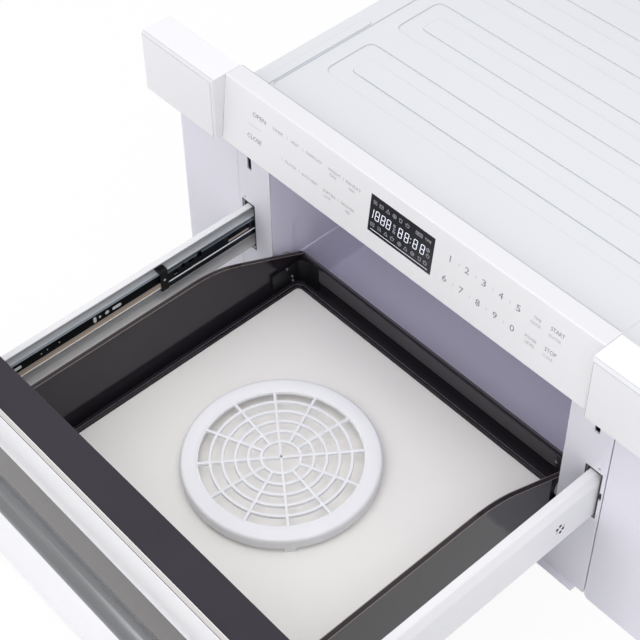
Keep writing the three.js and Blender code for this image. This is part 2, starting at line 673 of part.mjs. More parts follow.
// ---- latch switches --------------------------------------------------------
const tongueLength = 20;
for (const [side, tag] of sides) {
  const [s0, s1] = mirrored(side, slideStart - 7, slideStart + 12);
  const body = block(s0, s1, tongueLength + 6, tongueLength + 26, latchSlot.z[0] - 7, latchSlot.z[1] + 9);
  const [l0, l1] = mirrored(side, slideStart, slideStart + 7);
  const lever = block(l0, l1, tongueLength + 2, tongueLength + 6.3, latchSlot.z[0] + 1, latchSlot.z[1]);
  const [a0, a1] = mirrored(side, cavityHalf + sheet + 0.5, slideStart - 6.7);
  const arm = block(a0, a1, tongueLength + 12, tongueLength + 20, latchSlot.z[0] + 1, latchSlot.z[1] + 1);
  place(`latch_switch_${tag}`, joined([body, lever, arm]), blackPlastic);

  const [t0, t1] = mirrored(side, latchSlot.x[0] + 1.2, latchSlot.x[1] - 1.2);
  const tongue = [
    [doorBack + gap, latchSlot.z[0] + 2], [doorBack + gap, latchSlot.z[1] - 2],
    [doorBack + tongueLength - 5, latchSlot.z[1] - 2, 1], [doorBack + tongueLength, latchSlot.z[1] - 6, 1],
    [doorBack + tongueLength, latchSlot.z[0] + 6, 1], [doorBack + tongueLength - 5, latchSlot.z[0] + 2, 1],
  ];
  place(`latch_tongue_${tag}`, prism('x', tongue, t0, t1, 2), greyPlastic);
}

// ---- microwave feed, supply and cooling ------------------------------------
const guideHalf = 42;
const guideTop = 342;
const guideBottom = cavityCeiling + sheet + gap;
const guideFront = 180;
const guideRear = 492;
const guideFoot = 190;
const linerBack = cavityBack + sheet + gap;
const guideOutline = [
  [guideFront, guideBottom], [guideFront, guideTop, 20], [guideRear, guideTop, 20], [guideRear, guideFoot],
  [linerBack, guideFoot], [linerBack, guideBottom],
];
const guideBody = prism('x', guideOutline, -guideHalf, guideHalf);
const guideBore = rod('z', 7, 290, 360, 0, stirrerY, 12);
const antennaHole = rod('y', 12, guideRear - 8, guideRear + 4, 0, 240, 16);
const guideWall = 1.5;
const guideInside = prism('x', [
  [guideFront + guideWall, guideBottom - 5], [guideFront + guideWall, guideTop - guideWall, 19],
  [guideRear - guideWall, guideTop - guideWall, 19], [guideRear - guideWall, guideFoot + guideWall],
  [linerBack + guideWall, guideFoot + guideWall], [linerBack + guideWall, guideBottom - 5],
], -guideHalf + guideWall, guideHalf - guideWall);
const guideFloor = joined([
  block(-guideHalf, guideHalf, guideFront, stirrerY - feedHoleRadius, guideBottom, guideBottom + guideWall),
  block(-guideHalf, guideHalf, stirrerY + feedHoleRadius, linerBack + guideWall, guideBottom, guideBottom + guideWall),
]);
const guideTube = less(guideBody, [guideInside]).add(guideFloor);
place('waveguide', less(guideTube, [guideBore, antennaHole]), aluminiumPlain);

const magnetronZ = [200, 282];
const magnetronY = [guideRear + gap, 552];
const magnetronParts = [];
magnetronParts.push(block(-46, 46, magnetronY[0], magnetronY[0] + 2, magnetronZ[0], magnetronZ[1]));
magnetronParts.push(block(-46, 46, magnetronY[1] - 2, magnetronY[1], magnetronZ[0], magnetronZ[1]));
for (const x of [-46, 44]) {
  magnetronParts.push(block(x, x + 2, magnetronY[0], magnetronY[1], magnetronZ[0], magnetronZ[1]));
}
magnetronParts.push(rod('y', 19, magnetronY[0] + 1, magnetronY[1] - 1, 0, 240, 10));
for (let i = 0; i < 4; i += 1) {
  const y = magnetronY[0] + 13 + i * 10;
  magnetronParts.push(block(-45, 45, y, y + 1, 206, 276));
}
magnetronParts.push(rod('y', 9, guideRear - 6, magnetronY[0] + 1, 0, 240, 12));
magnetronParts.push(block(-14, 14, magnetronY[0] + 14, magnetronY[1] - 12, 186, 222));
place('magnetron', joined(magnetronParts), copper);

const stirrerParts = [rod('z', stirrerShaftRadius, 285, 344, 0, stirrerY, 12)];
stirrerParts.push(rod('z', 10, 284, 293, 0, stirrerY, 16));
for (let i = 0; i < 4; i += 1) {
  const blade = block(6, 78, -13, 13, 286, 287.5);
  const slot = block(26, 62, -5, 5, 280, 295);
  const turn = 20 + i * 90;
  stirrerParts.push(blade.subtract(slot).rotate([0, 0, turn]).translate([0, stirrerY, 0]));
}
place('mode_stirrer', joined(stirrerParts), aluminiumPlain);

const shieldRadius = 100;
const shieldTop = cavityCeiling - gap;
const shieldProfile = [
  [0, 276], [shieldRadius - 6, 276], [shieldRadius, 282], [shieldRadius, shieldTop], [shieldRadius - 2.4, shieldTop],
  [shieldRadius - 2.4, 283], [shieldRadius - 7, 278.4], [0, 278.4],
];
place('stirrer_shield', turned('z', shieldProfile, [0, stirrerY, 0], 24), whitePlastic);

const stirMotorParts = [rod('z', 25, guideTop + 4, guideTop + 20, 0, stirrerY, 20)];
stirMotorParts.push(less(
  prism('z', rectangle(-34, 34, stirrerY - 9, stirrerY + 9, 8), guideTop + gap, guideTop + 5, 2),
  [rod('z', 7, 330, guideTop + 3, 0, stirrerY, 12)],
));
place('stirrer_motor', joined(stirMotorParts), darkZinc);

const coreParts = [prism('z', rectangle(-196, -104, 462, 542, 3), trayTop + gap, 20)];
coreParts.push(prism('y', rectangle(-190, -110, 19, 92, 2), 480, 524));
coreParts.push(prism('y', rectangle(-176, -124, 34, 76, 8), 466, 538));
place('power_transformer', joined(coreParts), darkZinc);

const canParts = [prism('z', rectangle(-88, -38, 474, 532, 16), trayTop + gap, 88, 6)];
for (const x of [-74, -56]) {
  canParts.push(block(x, x + 6, 500, 501, 86, 97));
}
place('high_voltage_capacitor', joined(canParts), aluminiumPlain);

const blowerHalf = 56;
const blowerY = [466, 528];
const shroud = prism('y', rectangle(
  blowerX - blowerHalf, blowerX + blowerHalf, blowerZ - blowerHalf, blowerZ + blowerHalf, 10,
), blowerY[0], blowerY[1]);
const shroudBore = rod('y', blowerRadius + 2.5, blowerY[0] - 3, blowerY[1] - 2.5, blowerX, blowerZ, 28);
const shroudOpenings = [];
for (let i = 0; i < 3; i += 1) {
  const start = i * 2 * Math.PI / 3 + 0.2;
  const window = [];
  for (let j = 0; j <= 3; j += 1) {
    const angle = start + j * 0.56;
    window.push([blowerX + 46 * Math.cos(angle), blowerZ + 46 * Math.sin(angle)]);
  }
  for (let j = 3; j >= 0; j -= 1) {
    const angle = start + j * 0.56;
    window.push([blowerX + 27 * Math.cos(angle), blowerZ + 27 * Math.sin(angle)]);
  }
  shroudOpenings.push(prism('y', window, blowerY[1] - 5, blowerY[1] + 5));
}
const shroudShaft = rod('y', 3.4, blowerY[1] - 5, blowerY[1] + 5, blowerX, blowerZ, 12);
const blowerLegs = [-1, 1].map((s) => block(blowerX + s * 44 - 5, blowerX + s * 44 + 5, 480, 514, trayTop + gap, 96));
const blowerFrame = joined([shroud, ...blowerLegs]);
place('blower_shroud', less(blowerFrame, [shroudBore, ...shroudOpenings, shroudShaft]), blackPlastic);

const fanBladeY = [475, 518];
const fanParts = [turned('y', [[0, 472], [12, 472], [16, 476], [16, 521], [0, 521]], [blowerX, 0, blowerZ], 14)];
for (let i = 0; i < 7; i += 1) {
  const blade = prism('y', [[-2, 12], [3, 12], [9, blowerRadius], [2, blowerRadius]], fanBladeY[0], fanBladeY[1]);
  fanParts.push(blade.rotate([0, i * 360 / 7, 0]).translate([blowerX, 0, blowerZ]));
}
const fanBore = rod('y', 3 + boreClearance, 500, 530, blowerX, blowerZ, 16);
place('blower_fan', less(joined(fanParts), [fanBore]), greyPlastic);

const fanMotorParts = [rod('y', 23, blowerY[1] + gap, 552, blowerX, blowerZ, 20)];
fanMotorParts.push(rod('y', 3, 508, blowerY[1] + 1, blowerX, blowerZ, 16));
place('blower_motor', joined(fanMotorParts), darkZinc);

// ---- drawer pan ------------------------------------------------------------
const wallOutline = [
  [panFront, panBottom], [panBack, panBottom, 6], [panBack, panRearTop, 3], [panBend, panTop, panBendReach],
  [panFront, panTop],
];
const lowered = wallOutline.map(([y, z, reach = 0]) => [y, z - panFlangeDepth, reach]);
const panInner = panHalf - sheet;
const panParts = [];
for (const [side] of sides) {
  const [x0, x1] = mirrored(side, panInner, panHalf);
  panParts.push(prism('x', wallOutline, x0, x1, 8));
  const [f0, f1] = mirrored(side, panHalf - panFlange, panInner + 0.1);
  const [c0, c1] = mirrored(side, panHalf - panFlange - 1, panInner + 1);
  panParts.push(less(prism('x', wallOutline, f0, f1, 8), [prism('x', lowered, c0, c1, 8)]));
}
const panSpan = panInner + 0.1;
panParts.push(block(-panSpan, panSpan, panFront, panBack - 1, panBottom, panBottom + 2));
panParts.push(block(-panSpan, panSpan, panBack - sheet, panBack, panBottom + 1, panRearTop));
panParts.push(block(-panSpan, panSpan, panBack - panFlange, panBack, panRearTop - panFlangeDepth, panRearTop));
panParts.push(block(-panSpan, panSpan, panFront, panFront + sheet, panBottom, panFrontWallTop));
const seatHalf = plateHalf + gap;
const seatRing = rectangle(
  -seatHalf - ridgeWidth, seatHalf + ridgeWidth, plateFront - gap - ridgeWidth, plateBack + gap + ridgeWidth, 12,
);
const seatHole = rectangle(-seatHalf, seatHalf, plateFront - gap, plateBack + gap, plateCorner);
const seat = less(prism('z', seatRing, panBottom + 1, ridgeTop, 5), [prism('z', seatHole, panBottom, ridgeTop + 5, 5)]);
panParts.push(seat);
place('drawer_pan', joined(panParts), blackPaint);

const plateOutline = rectangle(-plateHalf, plateHalf, plateFront, plateBack, plateCorner);
place('ceramic_floor', prism('z', plateOutline, panBottom + 2 + gap, plateTop, 5), ceramic);

for (const [side, tag] of sides) {
  const inner = panInner - gap;
  const rear = panBack - sheet - gap;
  const plan = mirroredPoints(side, [
    [inner, rear], [inner, -8], [inner - 3, -8], [inner - 3, rear - 8, 4], [inner - 14, rear - 3, 4],
    [inner - 28, rear - 3], [inner - 28, rear],
  ]);
  const top = panRearTop - panFlangeDepth - 3.5;
  place(`corner_bracket_${tag}`, prism('z', plan, panBottom + 2 + gap, top, 3), blackPlastic);

  const padX = [panHalf + gap, cavityHalf - 0.9];
  const pad = less(rod('x', 14, ...mirrored(side, padX[0], padX[1]), 14, 130, 20), [
    rod('x', 8, ...mirrored(side, padX[1] - 1.2, padX[1] + 1), 14, 130, 12),
  ]);
  place(`guide_pad_${tag}`, pad, greyPlastic);
}

// ---- drawer front ----------------------------------------------------------
const doorShell = prism('y', rectangle(-doorInnerHalf, doorInnerHalf, doorInnerBottom, doorInnerTop, 3), doorInnerFront, doorBack);
const doorWall = 2.4;
const doorHollow = block(
  -doorInnerHalf + doorWall, doorInnerHalf - doorWall, doorInnerFront - 1, doorBack - doorWall,
  doorInnerBottom + doorWall, doorInnerTop - doorWall,
);
const paneZ = [windowZ[0] + 6, windowZ[1] - 6];
const doorOpening = prism('y', rectangle(-innerWindowHalf, innerWindowHalf, paneZ[0], paneZ[1], 8), -450, doorBack + 5);
place('door_body', less(doorShell, [doorHollow, doorOpening]), blackPaint);

const paneHalf = innerWindowHalf - gap;
const pane = rectangle(-paneHalf, paneHalf, paneZ[0] + gap, paneZ[1] - gap, 7.6);
place('inner_pane', prism('y', pane, doorBack - 2.3, doorBack - 0.2), darkGlass);

const frontEdge = 2;
const frontPlate = prism('y', rectangle(-doorHalf, doorHalf, doorBottom, doorTop, frontEdge), doorFront, doorInnerFront - gap);
const frontReturns = sides.map(([side]) => {
  const [x0, x1] = mirrored(side, doorHalf - 4, doorHalf);
  return prism('x', rectangle(doorInnerFront - 2, -402, doorBottom, doorTop, frontEdge - 0.2), x0, x1);
});
const frontOpening = prism('y', rectangle(-windowHalf, windowHalf, windowZ[0], windowZ[1], 3), doorFront - 5, doorFront + 20);
const skin = 1.6;
const skinBack = doorFront + skin;
const fold = 2;
const hollowHalf = doorHalf - 4 - fold;
const frontHollows = [
  block(-hollowHalf, hollowHalf, skinBack, doorFront + 20, doorBottom + fold, windowZ[0] - fold),
  block(-hollowHalf, hollowHalf, skinBack, doorFront + 20, windowZ[1] + fold, doorTop - fold),
];
for (const [side] of sides) {
  const [x0, x1] = mirrored(side, windowHalf + fold, hollowHalf);
  frontHollows.push(block(x0, x1, skinBack, doorFront + 20, windowZ[0] - 5, windowZ[1] + 5));
}
place('drawer_front', less(joined([frontPlate, ...frontReturns]), [frontOpening, ...frontHollows]), whitePaint);

const glassHalf = windowHalf - gap;
const glassOutline = rectangle(-glassHalf, glassHalf, windowZ[0] + gap, windowZ[1] - gap, 2.8);
place('window_glass', prism('y', glassOutline, doorFront + 1, doorInnerFront - 1), darkGlass);

const barEnd = 2.5;
const handleProfile = [
  [0, -handleHalf], [handleRadius - barEnd, -handleHalf], [handleRadius, -handleHalf + barEnd],
  [handleRadius, handleHalf - barEnd], [handleRadius - barEnd, handleHalf], [0, handleHalf],
];
place('handle_bar', turned('x', handleProfile, [0, handleY, handleZ], 24), brightSteel);
for (const [side, tag] of sides) {
  const stem = rod('y', postRadius, handleY + 2, doorFront - 4, side * postX, handleZ, 16);
  const washer = rod('y', postRadius + 3, doorFront - 5, doorFront - gap, side * postX, handleZ, 16);
  const saddle = rod('x', handleRadius + gap, ...mirrored(side, postX - 20, postX + 20), handleY, handleZ, 24);
  place(`handle_post_${tag}`, less(joined([stem, washer]), [saddle]), brightSteel);
}

// ---- round rack ------------------------------------------------------------
const rackBase = plateTop + 0.05;
const rackTop = rackBase + rackHeight;
const rimInner = rackRadius * rackRimInner;
const rimProfile = [
  [rimInner, rackTop - rackBarDepth], [rimInner, rackTop], [rackRadius - 3, rackTop], [rackRadius, rackTop - 3],
  [rackRadius, rackBase + rackFootHeight], [rackRadius - 2.5, rackBase + rackFootHeight],
  [rackRadius - 2.5, rackTop - rackBarDepth], [rimInner, rackTop - rackBarDepth],
];
const rackAt = [rackX, rackY, 0];
const rackParts = [turned('z', rimProfile, rackAt, 36)];
for (const ratio of rackRings) {
  const middle = rackRadius * ratio;
  const ringProfile = [
    [middle - rackBar / 2, rackTop - rackBarDepth], [middle + rackBar / 2, rackTop - rackBarDepth],
    [middle + rackBar / 2, rackTop - 0.6], [middle - rackBar / 2, rackTop - 0.6],
    [middle - rackBar / 2, rackTop - rackBarDepth],
  ];
  rackParts.push(turned('z', ringProfile, rackAt, ratio > 0.4 ? 18 : 12));
}
for (let i = 0; i < rackSpokes; i += 1) {
  const inward = i % 3 === 0 ? 0 : rackRadius * rackRings[0];
  const spoke = block(inward - 0.5, rimInner + 1, -rackBar / 2, rackBar / 2, rackTop - rackBarDepth, rackTop - 0.4);
  rackParts.push(spoke.rotate([0, 0, rackTurn + i * 360 / rackSpokes]).translate(rackAt));
}
for (let i = 0; i < 4; i += 1) {
  const foot = block(-6, 6, -rackRadius + 0.4, -rackRadius + 3.4, rackBase, rackBase + rackFootHeight + 1);
  rackParts.push(foot.rotate([0, 0, rackTurn + i * 90]).translate(rackAt));
}
place('round_rack', joined(rackParts), whitePlastic);

export default assembly;
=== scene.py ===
"""Built-in microwave drawer with its drawer out: finishes and fine pieces on the fixed frame."""
import math

import bmesh
import bpy
from mathutils import Matrix, Vector


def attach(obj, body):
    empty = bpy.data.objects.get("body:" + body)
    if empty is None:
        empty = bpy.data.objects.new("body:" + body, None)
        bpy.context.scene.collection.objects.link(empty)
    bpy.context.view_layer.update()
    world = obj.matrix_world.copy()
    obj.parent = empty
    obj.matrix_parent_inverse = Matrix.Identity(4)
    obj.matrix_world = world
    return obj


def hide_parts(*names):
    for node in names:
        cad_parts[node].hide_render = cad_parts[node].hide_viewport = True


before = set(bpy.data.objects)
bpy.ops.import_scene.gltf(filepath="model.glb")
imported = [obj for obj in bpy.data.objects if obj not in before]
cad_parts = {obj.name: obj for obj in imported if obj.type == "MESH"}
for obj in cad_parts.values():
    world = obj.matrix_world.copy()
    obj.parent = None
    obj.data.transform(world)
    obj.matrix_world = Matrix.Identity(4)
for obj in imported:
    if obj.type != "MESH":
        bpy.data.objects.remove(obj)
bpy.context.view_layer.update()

MM = 0.001
DEPTH_SHIFT = -44.55  # millimetres from the chassis front plane to the middle of the depth
SIDES = ((-1, "left"), (1, "right"))


def spot(x, y, z):
    """A point given in millimetres, with y = 0 on the chassis front plane, as metres in the frame."""
    return Vector((x * MM, (y + DEPTH_SHIFT) * MM, z * MM))


# ---- finishes -----------------------------------------------------------------
class Signal:
    """A number that changes over a surface: sums and products on it add their nodes."""

    def __init__(self, tree, socket):
        self.tree = tree
        self.socket = socket

    def combine(self, operation, first, second=None):
        node = self.tree.nodes.new("ShaderNodeMath")
        node.operation = operation
        for place, value in enumerate((first, second)):
            if isinstance(value, Signal):
                self.tree.links.new(value.socket, node.inputs[place])
            elif value is not None:
                node.inputs[place].default_value = value
        return Signal(self.tree, node.outputs[0])

    def __add__(self, other):
        return self.combine("ADD", self, other)

    __radd__ = __add__

    def __sub__(self, other):
        return self.combine("SUBTRACT", self, other)

    def __rsub__(self, other):
        return self.combine("SUBTRACT", other, self)

    def __mul__(self, other):
        return self.combine("MULTIPLY", self, other)

    __rmul__ = __mul__

    def above(self, edge):
        return self.combine("GREATER_THAN", self, edge)

    def below(self, edge):
        return self.combine("LESS_THAN", self, edge)

    def size(self):
        return self.combine("ABSOLUTE", self)


ALONG_X = (0.02, 1, 1)
ALONG_Y = (1, 0.02, 1)
ALONG_Z = (1, 1, 0.02)


class Finish:
    """One material: a Principled surface and the nodes that vary it."""

    def __init__(self, name, **fixed):
        self.material = bpy.data.materials.new(name)
        self.material.use_nodes = True
        self.tree = self.material.node_tree
        self.tree.nodes.clear()
        self.end = self.tree.nodes.new("ShaderNodeOutputMaterial")
        self.surface = self.tree.nodes.new("ShaderNodeBsdfPrincipled")
        self.tree.links.new(self.surface.outputs[0], self.end.inputs["Surface"])
        for socket, value in fixed.items():
            self.put(self.surface, socket.replace("_", " "), value)

    def put(self, node, socket, value):
        if isinstance(value, Signal):
            value = value.socket
        if isinstance(value, bpy.types.NodeSocket):
            self.tree.links.new(value, node.inputs[socket])
        else:
            node.inputs[socket].default_value = value

    def add(self, kind, settings=None, sockets=None):
        node = self.tree.nodes.new("ShaderNode" + kind)
        for key, value in (settings or {}).items():
            setattr(node, key, value)
        for key, value in (sockets or {}).items():
            self.put(node, key, value)
        return node

    def signal(self, socket):
        return Signal(self.tree, socket)

    def place(self, stretch=(1, 1, 1)):
        """Object coordinates, drawn out along an axis for streaks."""
        source = self.add("TexCoord")
        if stretch == (1, 1, 1):
            return source.outputs["Object"]
        mapping = self.add("Mapping", None, {"Vector": source.outputs["Object"], "Scale": stretch})
        return mapping.outputs["Vector"]

    def noise(self, scale, detail=2.0, stretch=(1, 1, 1)):
        node = self.add("TexNoise", None, {"Vector": self.place(stretch), "Scale": scale, "Detail": detail})
        return self.signal(node.outputs[0])

    def along(self, axis):
        """Object coordinate along X, Y or Z, in metres."""
        parts = self.add("SeparateXYZ", None, {"Vector": self.place()})
        return self.signal(parts.outputs[axis])

    def zones(self, amount, stops):
        """One colour for each zone, from (start, hex) pairs."""
        node = self.add("ValToRGB", None, {"Fac": amount})
        node.color_ramp.interpolation = "CONSTANT"
        points = node.color_ramp.elements
        while len(points) < len(stops):
            points.new(0.5)
        for point, (position, _) in zip(points, stops):
            point.position = position
        for point, (_, text) in zip(points, stops):
            point.color = (*tone(text), 1)
        return node.outputs["Color"]

    def shade(self, low, high, amount, blend="MIX"):
        """Colour between two shades or two colour sockets."""
        node = self.add("Mix", {"data_type": "RGBA", "blend_type": blend})
        for place, value in ((6, low), (7, high)):
            self.put(node, place, value if isinstance(value, bpy.types.NodeSocket) else (*value, 1))
        self.put(node, 0, amount)
        return node.outputs[2]

    def vary(self, colour, spread, amount):
        low = [max(0.0, c * (1 - spread)) for c in colour]
        high = [min(1.0, c * (1 + spread)) for c in colour]
        self.put(self.surface, "Base Color", self.shade(low, high, amount))

    def rough(self, value):
        self.put(self.surface, "Roughness", value)

    def bumps(self, height, distance, strength=0.5):
        node = self.add("Bump", None, {"Height": height, "Distance": distance, "Strength": strength})
        self.put(self.surface, "Normal", node.outputs[0])


def tone(text):
    """Linear colour from an sRGB hex string."""
    values = [int(text[i:i + 2], 16) / 255 for i in (0, 2, 4)]
    return [v / 12.92 if v <= 0.04045 else ((v + 0.055) / 1.055) ** 2.4 for v in values]


def enamel(name, colour, roughness, peel=0.00003, coat=0.0, spread=0.012, shine=0.5):
    """Stoved paint on sheet: slight orange peel, slightly uneven gloss."""
    made = Finish(name, Coat_Weight=coat, Coat_Roughness=0.06, Specular_IOR_Level=shine)
    made.vary(tone(colour), spread, made.noise(14, 3))
    made.rough(made.noise(60, 2) * 0.08 + (roughness - 0.04))
    made.bumps(made.noise(900, 1), peel, 0.3)
    return made.material


PAN_REAR_FACE = (41 + DEPTH_SHIFT) * MM
PAN_FLOOR_LINE, PAN_OUTER_WALL, PAN_UNDER_RIM = 0.1, 0.2157, 0.1895  # metres


def pan_enamel(name, colour, rear, outer):
    """Gloss enamel of the pan with painted light: greyer on its rear wall as a painted reflection, darker on
    the outer faces of its side walls below the rim as painted shade.
    """
    made = Finish(name, Coat_Weight=0.05, Coat_Roughness=0.06, Specular_IOR_Level=0.28)
    base = made.shade([c * 0.8 for c in tone(colour)], tone(colour), made.noise(14, 3))
    # painted reflection on the rear wall, painted shade on the outer side walls under the rim
    rear_reflection_mask = made.along("Y").above(PAN_REAR_FACE) * made.along("Z").above(PAN_FLOOR_LINE)
    outer_shade_mask = made.along("X").size().above(PAN_OUTER_WALL) * made.along("Z").below(PAN_UNDER_RIM)
    with_painted_light = made.shade(made.shade(base, tone(rear), rear_reflection_mask), tone(outer), outer_shade_mask)
    made.put(made.surface, "Base Color", with_painted_light)
    made.rough(made.noise(60, 2) * 0.08 + 0.09)
    made.bumps(made.noise(900, 1), 0.000004, 0.3)
    return made.material


def tilt_shaded_sheet(name, colour, tilt_shade, roughness, from_tilt, to_tilt, over=0.0):
    """Pale sheet with painted shade: a second, darker tone where its face tilts between two amounts, above a
    given height.
    """
    made = Finish(name)
    facing = made.add("SeparateXYZ", None, {"Vector": made.add("TexCoord").outputs["Normal"]})
    tilt = 1 - made.signal(facing.outputs["Z"])
    worn = made.noise(14, 3)
    flat = made.shade([c * 0.98 for c in tone(colour)], tone(colour), worn)
    # painted shade: the darker second tone on faces that tilt between the two amounts
    amount = tilt.above(from_tilt) * tilt.below(to_tilt) * made.along("Z").above(over)
    made.put(made.surface, "Base Color", made.shade(flat, tone(tilt_shade), amount))
    made.rough(made.noise(60, 2) * 0.08 + (roughness - 0.04))
    made.bumps(made.noise(900, 1), 0.00001, 0.3)
    return made.material


def moulded(name, colour, roughness, grain=0.00004):
    """Moulded plastic with a fine spark-eroded grain."""
    made = Finish(name)
    made.vary(tone(colour), 0.02, made.noise(22, 2))
    made.rough(made.noise(90, 2) * 0.1 + (roughness - 0.05))
    made.bumps(made.noise(1400, 1), grain)
    return made.material


def metal(name, colour, roughness, stretch, depth=0.00003, spread=0.08):
    """Plated or brushed metal with streaks along one axis."""
    made = Finish(name, Metallic=1.0)
    streaks = made.noise(600, 3, stretch)
    made.vary(tone(colour), spread, streaks * 0.6 + made.noise(18, 2) * 0.4)
    made.rough(streaks * 0.16 + (roughness - 0.08))
    made.bumps(streaks, depth)
    return made.material


def metal_with_painted_bands(name, low, high, stops, patches=(), metallic=0.45):
    """Plated strip with rolled beads lengthwise, its painted light laid one tone a zone by height, patches
    cut by tests: painted shade, reflection and highlight.
    """
    made = Finish(name, Metallic=metallic)
    height = (made.along("Z") - low * MM) * (1 / ((high - low) * MM))
    streaks = made.noise(600, 3, ALONG_Y)
    colour = made.zones(height, stops)
    for test, text in patches:
        colour = made.shade(colour, tone(text), test(made))
    grain = made.shade((0.8, 0.8, 0.8), (1, 1, 1), streaks)
    made.put(made.surface, "Base Color", made.shade(colour, grain, 1.0, "MULTIPLY"))
    made.rough(streaks * 0.16 + 0.28)
    made.bumps(streaks, 0.00002)
    return made.material


def fired_ceramic(name, colour):
    """Pale ceramic plate: very fine speckle, faint clouding, satin face."""
    made = Finish(name)
    cloud = made.noise(7, 3)
    speck = made.noise(900, 1).above(0.68)
    made.vary(tone(colour), 0.03, cloud * 0.85 + speck * 0.15)
    made.rough(made.noise(40, 2) * 0.12 + 0.3)
    made.bumps(made.noise(700, 2), 0.00004)
    return made.material


def tinted_glass(name, colour, roughness=0.04):
    """Dark tinted glass with a faint perforated screen behind it."""
    made = Finish(name, IOR=1.5, Specular_IOR_Level=0.28)
    cells = made.add("TexVoronoi", {"feature": "F1"}, {
        "Vector": made.place(), "Scale": 480.0, "Randomness": 0.0,
    })
    holes = made.signal(cells.outputs[0]).above(0.42)
    made.vary(tone(colour), 0.16, holes * 0.7 + made.noise(6, 2) * 0.3)
    made.rough(made.noise(30, 2) * 0.02 + roughness)
    return made.material


def printed(name, colour, roughness=0.5):
    """Screen-printed ink."""
    made = Finish(name)
    made.vary(tone(colour), 0.05, made.noise(900, 2))
    made.rough(made.noise(500, 1) * 0.1 + roughness)
    return made.material


def lit(name, colour, strength):
    """Lit display segment: bright in its middle, uneven by a little."""
    made = Finish(name, Emission_Strength=strength, Roughness=0.4)
    glow = made.shade([c * 0.86 for c in tone(colour)], tone(colour), made.noise(300, 1))
    made.put(made.surface, "Base Color", glow)
    made.put(made.surface, "Emission Color", glow)
    return made.material


WHITE = enamel("white_enamel_face", "e6e6e7", 0.36, peel=0.00001, coat=0.1)
FRONT = enamel("lavender_front_paint", "e6e5ed", 0.42, peel=0.00001)
LINER = enamel("lavender_liner_enamel", "f1eeff", 0.6, shine=0.05)
# cover: darker tone on the groove slopes, a painted shade
COVER = tilt_shaded_sheet("coated_cover_sheet", "d8d9db", "b9bdc2", 0.46, 0.012, 0.75, 0.3705)
ZINC = metal("zinc_plated_sheet", "a9b0b8", 0.36, ALONG_Y)
BLACK = enamel("gloss_black_enamel", "2c2830", 0.13, peel=0.000004, coat=0.05, spread=0.2, shine=0.28)
# pan enamel: the greyer rear-wall tone is a painted reflection, the darker outer tone is painted shade
PAN_BLACK = pan_enamel("gloss_pan_enamel", "2c282e", "5f5b60", "121015")
BLACK_PLASTIC = moulded("black_moulding", "17171a", 0.5)
GREY_PLASTIC = moulded("grey_moulding", "a3a4a8", 0.5)
WHITE_PLASTIC = moulded("white_moulding", "f4f4f7", 0.42)
# ears: darker tone on the chamfers; panel: darker tone on its upward faces; both painted shade
EAR_WHITE = tilt_shaded_sheet("gloss_white_moulding", "e6e6e7", "d2d2d4", 0.4, 0.12, 0.75)
PANEL_WHITE = tilt_shaded_sheet("gloss_white_panel", "e5e5e6", "d9d9db", 0.4, -1.0, 0.3)
CERAMIC = fired_ceramic("pale_ceramic", "f8f6f2")
GLASS = tinted_glass("dark_window_glass", "38322e")
PANE = tinted_glass("dark_inner_pane", "2a2524", 0.06)
DISPLAY = moulded("charcoal_display", "2b2b30", 0.2, grain=0.00001)
STEEL = metal("plain_steel", "b4b6b8", 0.3, ALONG_Z)
DARK_STEEL = metal("dark_steel_parts", "5a5f66", 0.42, ALONG_Z)
BAR = metal("polished_bar", "7f8082", 0.26, ALONG_X, depth=0.000004)
BOARD = moulded("circuit_board_green", "2d5a42", 0.45)
COPPER = metal("copper_plated_parts", "a56a40", 0.4, ALONG_Z)
ALUMINIUM = metal("plain_aluminium_sheet", "c4c7ca", 0.34, ALONG_Y)
INK = printed("grey_print", "a3a3a8")
DARK_INK = printed("dark_print", "828288")
PALE_INK = printed("pale_print", "b6b6ba")
GLOW = lit("display_glow", "d9dce6", 0.55)
DIM = printed("display_unlit_print", "a9aab0", 0.4)
# near-white rolled bead: a painted highlight
HIGHLIGHT_BEAD = printed("rolled_bead_painted_highlight", "f6f7f8", 0.3)
# white tabs, and the pure white lower-lip bead, which is a painted highlight
WHITE_TABS_AND_LIP_HIGHLIGHT = moulded("white_tabs", "ffffff", 0.4)
# warm tones of the plain slide strip: a painted reflection
WARM_REFLECTION_STRIP = metal_with_painted_bands(
    "warm_painted_reflection_strip", 167.3, 174.6, [(0.0, "fbe0c2"), (0.55, "dccbc2")], metallic=0.0,
)
# dark punched strip: painted shade on the slide web
PUNCHED_STRIP_SHADE = metal("punched_strip_painted_shade", "24262b", 0.4, ALONG_Y)
GLOSS_SEAL = moulded("gloss_black_seal", "0d0b10", 0.14, grain=0.000005)
TRIM_GREY = moulded("grey_trim", "605d66", 0.4, grain=0.00001)
# light lines on the pan rim edges: painted highlights
RIM_HIGHLIGHT = moulded("rim_edge_painted_highlight", "97897c", 0.4, grain=0.00001)
SEAM_GREY = moulded("seam_grey", "9d9ea2", 0.5, grain=0.00001)
SEAM_PALE = moulded("seam_pale", "c3c3c6", 0.5, grain=0.00001)
# cream strip on the drawer front's top face: a painted shade
TOP_FACE_SHADE = moulded("top_strip_painted_shade", "bfbab6", 0.5)
EDGE_GREY = moulded("dark_edge_line", "66666b", 0.5)


